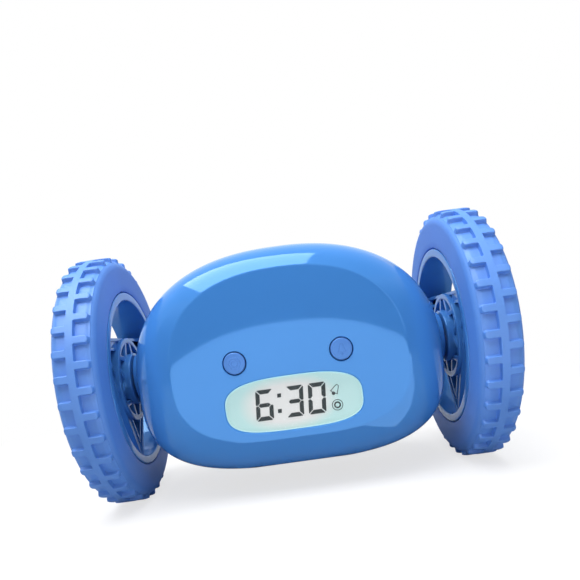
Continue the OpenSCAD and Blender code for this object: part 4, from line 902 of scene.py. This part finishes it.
# %% Radius of the tyre as a function of place and angle
WHEEL_X0, WHEEL_MID, WHEEL_X1, HALF_TYRE = 55.55, 62.35, 69.15, 6.8
TREAD_R, FLOOR_R, RIM_R = 43.998, 42.6, 31.75
BARS, BAR_HALF, BAR_END, BAR_CORNER, RIB_HALF = 36, 1.2, 5.5, 0.7, 1.25
WALL_SOFT, MEET_SOFT, CROWN_FROM, CROWN_FALL, FLOOR_FALL = 0.22, 0.3, 3.6, 0.35, 0.47
SHOULDER_TURN, SHOULDER_ACROSS, SHOULDER_DROP = 57.4, 2.6, 3.0
SIDES = ((-1, "left"), (1, "right"))


def smooth(t):
    """Smooth step from 0 to 1: 3 t^2 - 2 t^3."""
    t = np.clip(t, 0, 1)
    return t * t * (3 - 2 * t)


def tyre_radius(across, degrees, base):
    """base + (bar top - base) * mask; the mask is 1 on bars and rib and falls over a wall WALL_SOFT wide."""
    away, pitch = np.abs(across), 360 / BARS
    top = TREAD_R - CROWN_FALL * (np.clip(away - CROWN_FROM, 0, None) / 2.0) ** 2
    centre = np.where(across > 0, pitch / 2, 0.0)
    arc = np.abs(np.radians((degrees - centre + pitch / 2) % pitch - pitch / 2)) * TREAD_R
    p, q = arc - (BAR_HALF - BAR_CORNER), away - (BAR_END - BAR_CORNER)
    bar = np.hypot(p.clip(0), q.clip(0)) + np.minimum(np.maximum(p, q), 0) - BAR_CORNER
    rib = away - RIB_HALF
    h = (MEET_SOFT - np.abs(bar - rib)).clip(0) / MEET_SOFT
    distance = np.minimum(bar, rib) - h * h * MEET_SOFT / 4
    return base + (top - base).clip(0) * smooth(0.5 - distance / WALL_SOFT)


def tyre(side, name):
    """Grid of profile rows by angle columns, denser where the walls of the bars are."""
    bend = np.radians(np.linspace(0, SHOULDER_TURN, 8))
    shoulder = np.stack([HALF_TYRE - SHOULDER_ACROSS * (1 - np.cos(bend)),
                         FLOOR_R - SHOULDER_DROP * (1 - np.sin(bend))], 1)
    flank = [(6.35, RIM_R), (6.68, RIM_R + 0.08), (6.79, RIM_R + 0.35), (HALF_TYRE, 34.2), (HALF_TYRE, 36.4),
             (HALF_TYRE, 38.6)]
    tread = np.array([5.6, 5.53, 5.46, 5.38, 5.28, 5.15, 5.0, 4.82, 4.6, 4.3, 3.9, 3.2, 2.3, 1.75, 1.5, 1.38, 1.32,
                      1.25, 1.19, 1.12, 0.95, 0.4])
    floor = FLOOR_R - FLOOR_FALL * smooth((tread - 4.0) / 1.6)
    half = np.concatenate([flank, shoulder, np.stack([tread, floor], 1)])
    rows = np.concatenate([half * [-1, 1], half[::-1]])
    share = np.array([0, 0.6, 1.1, 1.36, 1.46, 1.56, 1.66, 1.76, 2.1, 2.9, 3.24, 3.34, 3.44, 3.54, 3.64, 3.95, 4.45])
    degrees = (np.arange(2 * BARS)[:, None] * 180 / BARS + share[None, :]).ravel()
    across, base = rows.T[:, :, None]
    radius = tyre_radius(across + 0 * degrees, degrees[None, :] + 0 * across, base)
    a = np.radians(degrees)[None, :]
    points = np.stack([side * (WHEEL_MID + across) + 0 * a, radius * np.sin(a), AXLE - radius * np.cos(a)], -1)
    print(f"{name}: {len(rows)} rows by {len(degrees)} columns")
    return make_piece(name, points.reshape(-1, 3), grid_faces(len(rows), len(degrees), wrap_rows=True), 65)


for side, word in SIDES:
    dress(tyre(side, word + "_tyre_skin"), "tyre_blue", word + "_wheel", "tyre_rubber", word + "_tyre")

# %% [markdown]
# ## The hubs
#
# Inside the tyre sits a drum, and across it a triangular frame of thin walls. In its middle a
# wide boss holds the axle, with a thick ring round it and twelve ribs between them, slanted in
# pairs. A small plate covers one corner of each side of the frame. Each wall is a thin slab with
# rounded rims, because the light edges of those walls are what one sees from the front. The drum,
# the ring, the boss and the cap are turned on the lathe function.

# %% Walls, ribs and web of a hub
DRUM_R, LIP_R, LIP, WEB_X0, WEB_X1 = 28.65, 31.4, 0.8, 65.95, 67.75
SPOKE_X0, SPOKE_X1, SPOKE_R, THIN = 59.15, 66.25, 15.3, 1.3
RING_R, RING_WALL, RING_X0, BOSS_R, BOSS_X0, BORE_R, CORE_X1 = 15.25, 2.0, 57.95, 9.4, 56.15, 2.0, 66.45
RIB_T, RIB_X0, RIB_ROOT_TURN, RIB_TIP_TURN = 1.7, 58.15, 12, 7
SHORT_NEAR, SHORT_FAR, SHORT_ENDS = 10.9, 12.0, ((-20.6, -8.2), (8.2, 20.6))
COVER_ALONG, COVER_X, COVER_NEAR = (8.0, 24.0), (SPOKE_X0 + 0.4, SPOKE_X0 + 1.4), 11.4


def wall(side, turn, along, x, near, far):
    """Thin wall at right angles to the direction turn, between two distances h from the axle: u runs
    along it, and the point goes to (x, h cos - u sin, axle + h sin + u cos)."""
    c, s = math.cos(turn), math.sin(turn)
    outline = [(along[i], x[j]) for i, j in ((0, 0), (1, 0), (1, 1), (0, 1))]
    return slab("wall", outline, near, far, lambda u, v, h: (side * v, h * c - u * s, AXLE + h * s + u * c), 0.22)


def rib(side, k):
    """Rib k of twelve: root and tip are turned against each other, with a lean that changes sign each time."""
    lean, middle = (-1) ** k, 15 + 30 * k
    root, tip = (r * np.array([math.cos(math.radians(t)), math.sin(math.radians(t))]) for r, t in (
        (BOSS_R - 0.4, middle - RIB_ROOT_TURN * lean), (RING_R - 1.2, middle + RIB_TIP_TURN * lean)))
    (y, z), long = root, math.dist(root, tip)
    c, d = (tip - root) / long
    outline = [(RIB_X0, 0), (CORE_X1, 0), (CORE_X1, long), (RIB_X0, long)]
    return slab("rib", outline, -RIB_T / 2, RIB_T / 2,
                lambda u, v, h: (side * u, y + v * c - h * d, AXLE + z + v * d + h * c), 0.2)


def web(side):
    """Flat web behind the frame: a triangle of in-radius SPOKE_R whose corners are cut by the drum."""
    a = around(360)
    off = (a - math.pi / 2 + math.pi / 3) % (2 * math.pi / 3) - math.pi / 3
    r = np.minimum(DRUM_R + 0.3, SPOKE_R / np.cos(off))
    return slab("web", np.stack([r * np.cos(a), r * np.sin(a)], 1), WEB_X0, WEB_X1,
                lambda u, v, h: (side * h, u, AXLE + v), 0.25)


# %% Whole hubs and caps
def hub(side, word):
    """All parts of one hub, joined: lathed rings, the frame's long and short walls and plates, ribs and web."""
    turned = lambda name, corners, turns: lathe(name, rounded_profile(corners, 0.4) * [1, side], turns)
    x0, x1 = WHEEL_X0, WHEEL_X1
    parts = [turned("drum", [(DRUM_R, x0), (LIP_R, x0), (LIP_R, x0 + LIP), (RIM_R, x0 + LIP), (RIM_R, x1 - LIP),
                             (LIP_R, x1 - LIP), (LIP_R, x1), (DRUM_R, x1)], 256),
             turned("ring", [(RING_R - RING_WALL, RING_X0), (RING_R, RING_X0), (RING_R, CORE_X1),
                             (RING_R - RING_WALL, CORE_X1)], 128),
             turned("boss", [(BORE_R, BOSS_X0), (BOSS_R, BOSS_X0), (BOSS_R, CORE_X1), (BORE_R, CORE_X1)], 96)]
    reach, deep = math.sqrt(DRUM_R ** 2 - SPOKE_R ** 2) + 0.5, (SPOKE_X0, SPOKE_X1)
    for turn in np.radians([90, 210, 330]):
        parts.append(wall(side, turn, (-reach, reach), deep, SPOKE_R - THIN, SPOKE_R))
        parts += [wall(side, turn, ends, deep, SHORT_NEAR, SHORT_FAR) for ends in SHORT_ENDS]
        parts.append(wall(side, turn, COVER_ALONG, COVER_X, COVER_NEAR, SPOKE_R - 0.4))
    parts += [rib(side, k) for k in range(12)]
    return join(word + "_hub_skin", [*parts, web(side)])


CAP_PROFILE = [(0, 67.75), (9.95, 67.75), (9.95, 68.7), (9.85, 68.95), (9.6, 69.1), (9.3, 69.15), (8.2, 69.15),
               (8.0, 69.1), (7.85, 68.85), (7.6, 68.75), (7.3, 68.8), (7.15, 68.95), (6.9, 69.05), (4.0, 69.12),
               (0, 69.15)]
for side, word in SIDES:
    dress(hub(side, word), "rim_blue", word + "_wheel", "rim_blue", word + "_hub")
    cap = lathe(word + "_cap_skin", np.array(CAP_PROFILE) * [1, side], 128)
    dress(cap, "button_blue", word + "_wheel", "shell_blue", word + "_wheel_cap")

# %% [markdown]
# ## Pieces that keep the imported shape
#
# The boards, the loudspeaker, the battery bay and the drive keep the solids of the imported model.
# They only get a finish each, so that an opened clock looks right too.

# %% Finishes for the solids that stay
KEPT = {"grey_plastic": "display_glass display_carrier battery_tray", "set_white": "backlight",
        "board_green": "main_board rear_board snooze_board",
        "dark_plastic": "board_chips front_switches rear_switches snooze_switch",
        "steel": "board_screws shell_screws speaker_frame", "cone_black": "speaker_cone",
        "nickel": "speaker_magnet battery_contacts", "copper": "cell_1 cell_2 cell_3 cell_4"}
ON_EACH_SIDE = {"steel": "axle idler_pin", "bronze": "bush pinion", "grey_plastic": "gear_case",
                "nylon": "drive_gear idler_gear", "nickel": "motor_can", "copper": "rotor"}
staying = [(node, name) for name, nodes in KEPT.items() for node in nodes.split()]
staying += [(f"{word}_{node}", name) for name, nodes in ON_EACH_SIDE.items() for node in nodes.split()
            for side, word in SIDES]
for node, name in staying:
    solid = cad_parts[node]
    if not solid.material_slots:
        solid.data.materials.append(FINISH[name])
    for place in solid.material_slots:
        place.material = FINISH[name]
print("solids that keep their shape:", len(staying))

# %% [markdown]
# ## Camera, floor and light
#
# The camera stands low and close, and is turned about its own axis, which makes the clock lean in
# the picture. A pale floor carries it and fades to white further out. One soft lamp hangs
# overhead and lights the clock. Reflections don't see the lamp: they see a pale room with a touch
# of blue and a few plain cards, whose edges glossy plastic shows as the band on the rim and the
# curved line across the face. A single large lamp would be simpler, but it can't draw that line.

# %% Camera
IMAGE, FOCAL, MIDDLE, SENSOR = 580, 534.281, (292.566, 379.938), 36.0
EYE, YAW, PITCH, ROLL = (2.16, -196.80, AXLE + 6.87), 0.59, 4.46, -7.94


def camera_axes(yaw, pitch, roll):
    """Right, up and forward of a camera turned by yaw, tipped down by pitch and rolled about its view."""
    yaw, pitch, roll = (math.radians(v) for v in (yaw, pitch, roll))
    flat = np.array([[math.cos(yaw), -math.sin(yaw), 0], [math.sin(yaw), math.cos(yaw), 0], [0, 0, 1]])
    forward, right = flat @ [0, math.cos(pitch), -math.sin(pitch)], flat @ [1, 0, 0]
    up = np.cross(right, forward)
    return math.cos(roll) * right + math.sin(roll) * up, -math.sin(roll) * right + math.cos(roll) * up, forward


right, up, forward = camera_axes(YAW, PITCH, ROLL)
view = bpy.data.cameras.new("camera")
view.sensor_width, view.lens, view.clip_start = SENSOR, FOCAL / IMAGE * SENSOR, 0.01
view.shift_x, view.shift_y = -(MIDDLE[0] - IMAGE / 2) / IMAGE, (MIDDLE[1] - IMAGE / 2) / IMAGE
camera = add_object("camera", view)
columns = np.stack([right, up, -forward, np.array(EYE) * MM], 1)
camera.matrix_world = Matrix(columns.tolist() + [[0, 0, 0, 1]])
bpy.context.scene.camera = camera
print("lens:", round(view.lens, 2), "mm, shift:", round(view.shift_x, 4), round(view.shift_y, 4))

# %% Floor
FLOOR_TONE, FLOOR_BOUNCE, FLOOR_HALF = 0.93, 0.5, 3000
SHADOW_LIFT, FADE_FROM, FADE_TO = 0.7, 0.12, 0.32


def shown_white(material):
    """Camera rays: lit surface mixed with plain white, by SHADOW_LIFT near the clock and wholly from FADE_TO
    metres on, so that only the contact shadow stays. Other light sees a floor that is a little darker."""
    shader, out = (material.node_tree.nodes[name] for name in ("Principled BSDF", "Material Output"))
    white, mix, path, share, place, away, fade, tone = new_nodes(
        material, "Emission", "MixShader", "LightPath", "Math", "TexCoord", "VectorMath", "MapRange", "MapRange")
    away.operation, share.operation, fade.interpolation_type = "LENGTH", "MULTIPLY", "SMOOTHSTEP"
    put(white, {"Color": (1, 1, 1, 1)})
    put(fade, {"From Min": FADE_FROM, "From Max": FADE_TO, "To Min": SHADOW_LIFT, "To Max": 1.0})
    put(tone, {"To Min": FLOOR_BOUNCE, "To Max": FLOOR_TONE})
    connect(material, (place, "Object", away, 0), (away, "Value", fade, "Value"),
            (path, "Is Camera Ray", share, 0), (fade, "Result", share, 1), (share, "Value", mix, "Fac"),
            (shader, "BSDF", mix, 1), (white, "Emission", mix, 2), (mix, "Shader", out, "Surface"),
            (path, "Is Camera Ray", tone, "Value"), (tone, "Result", shader, "Base Color"))


floor_white = finish("floor_white", (FLOOR_TONE,) * 3, 0.9, bump=0.0, vary=0.0, specular=0.05)
shown_white(floor_white)
corners = np.array([(-1, -1, 0), (1, -1, 0), (1, 1, 0), (-1, 1, 0)]) * FLOOR_HALF
floor = make_piece("floor", corners, [(0, 1, 2, 3)])
floor.data.materials.append(floor_white)
floor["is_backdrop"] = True

# %% Room: full white for the camera, dimmer as a light, and tinted in reflections
ROOM_LIGHT, ROOM_TINT = 0.48, (0.82, 0.96, 1.12, 1)
room = bpy.data.worlds.new("room")
bpy.context.scene.world = room
room.use_nodes = True
path, level, tint = new_nodes(room, "LightPath", "MapRange", "MixRGB")
put(level, {"To Min": 1.0, "To Max": ROOM_LIGHT})
put(tint, {"Color1": (1, 1, 1, 1), "Color2": ROOM_TINT})
back = room.node_tree.nodes["Background"]
connect(room, (path, "Is Diffuse Ray", level, "Value"), (level, "Result", back, "Strength"),
        (path, "Is Glossy Ray", tint, "Fac"), (tint, "Color", back, "Color"))

# %% Overhead lamp that reflections don't see
LAMP_SIZE, LAMP_POWER, LAMP_PLACE, LAMP_TURN = (860, 760), 10.8, (-130, -250, 776), -20
data = bpy.data.lights.new("overhead", "AREA")
data.shape, data.energy = "RECTANGLE", LAMP_POWER
data.size, data.size_y = (v * MM for v in LAMP_SIZE)
lamp = add_object("overhead", data)
lamp.location = [v * MM for v in LAMP_PLACE]
lamp.rotation_euler[2] = math.radians(LAMP_TURN)
lamp.visible_glossy = False

# %% Cards that only reflections see
GLOW, WHITE = (0.8, 0.87, 1.0), (1, 1, 1)


def only_reflected(piece, colour, strength, fade=None):
    """Plain light of a colour and a strength, seen by glossy rays alone. With fade it grows upwards from
    strength to fade[2] between the heights fade[0] and fade[1] in metres."""
    material = bpy.data.materials.new(piece.name)
    material.use_nodes = True
    nodes = material.node_tree.nodes
    nodes.remove(nodes["Principled BSDF"])
    glow, = new_nodes(material, "Emission")
    put(glow, {"Color": (*colour, 1), "Strength": strength})
    connect(material, (glow, "Emission", nodes["Material Output"], "Surface"))
    if fade:
        place, split, grow = new_nodes(material, "TexCoord", "SeparateXYZ", "MapRange")
        grow.interpolation_type = "SMOOTHSTEP"
        put(grow, {"From Min": fade[0], "From Max": fade[1], "To Min": strength, "To Max": fade[2]})
        connect(material, (place, "Object", split, "Vector"), (split, "Z", grow, "Value"),
                (grow, "Result", glow, "Strength"))
    piece.data.materials.append(material)
    piece.visible_camera = piece.visible_diffuse = piece.visible_transmission = False
    piece.visible_shadow = piece.visible_volume_scatter = False
    piece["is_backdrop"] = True
    print(f"{piece.name}: {len(piece.data.polygons)} faces, strength {strength}")


def card(name, degrees, ends, colour, strength, fade=None, columns=61):
    """Card round the clock: at azimuth a, 0 in front and growing to the right, it runs between the two
    ends, each a (distance, height) in millimetres whose height may be a function of a in degrees."""
    a = np.linspace(*degrees, columns)
    r, z = (np.stack([end[k](a) if callable(end[k]) else 0 * a + end[k] for end in ends]) for k in (0, 1))
    points = np.stack([r * np.sin(np.radians(a)), -r * np.cos(np.radians(a)), z], -1).reshape(-1, 3)
    only_reflected(make_piece(name, points, grid_faces(2, columns, wrap_columns=False)), colour, strength, fade)


softbox = [(-527, 182, 776), (153, -70, 776), (95, -660, 776), (-505, -660, 776)]
only_reflected(make_piece("softbox_glow", softbox, [(0, 1, 2, 3)]), WHITE, 8.4)
card("front_flag", (-64, 150), ((760, 1), (760, 640)), WHITE, 0.1, (0.26, 0.6, 1.1), 107)
arch = lambda a: 129.5 - 0.19 * (a.clip(max=22) + 1) ** 2 - 2.6 * (a - 22).clip(0)
card("front_glow", (-27, 29), ((700, 1), (700, arch)), GLOW, 4.2)
card("right_strip", (24, 31), ((720, 60), (720, 450)), GLOW, 2.2)
card("left_strip", (-31, -25), ((720, 60), (720, 450)), GLOW, 1.2)
card("floor_glow", (-27, 48), ((54, 0.5), (700, 0.5)), GLOW, 4.2, columns=31)
bpy.context.scene.view_settings.view_transform = "Standard"

# %% [markdown]
# ## Sizes, and the end
#
# The boxes of the imported model and of the dressed one are printed side by side, so that one can
# see whether the surfaces stay inside the solids' box.

# %% Print the boxes side by side and finish
dressed_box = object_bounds()
for word, box in (("solids", cad_box), ("dressed", dressed_box)):
    print(word, [[round(c / MM, 2) for c in v] for v in box])
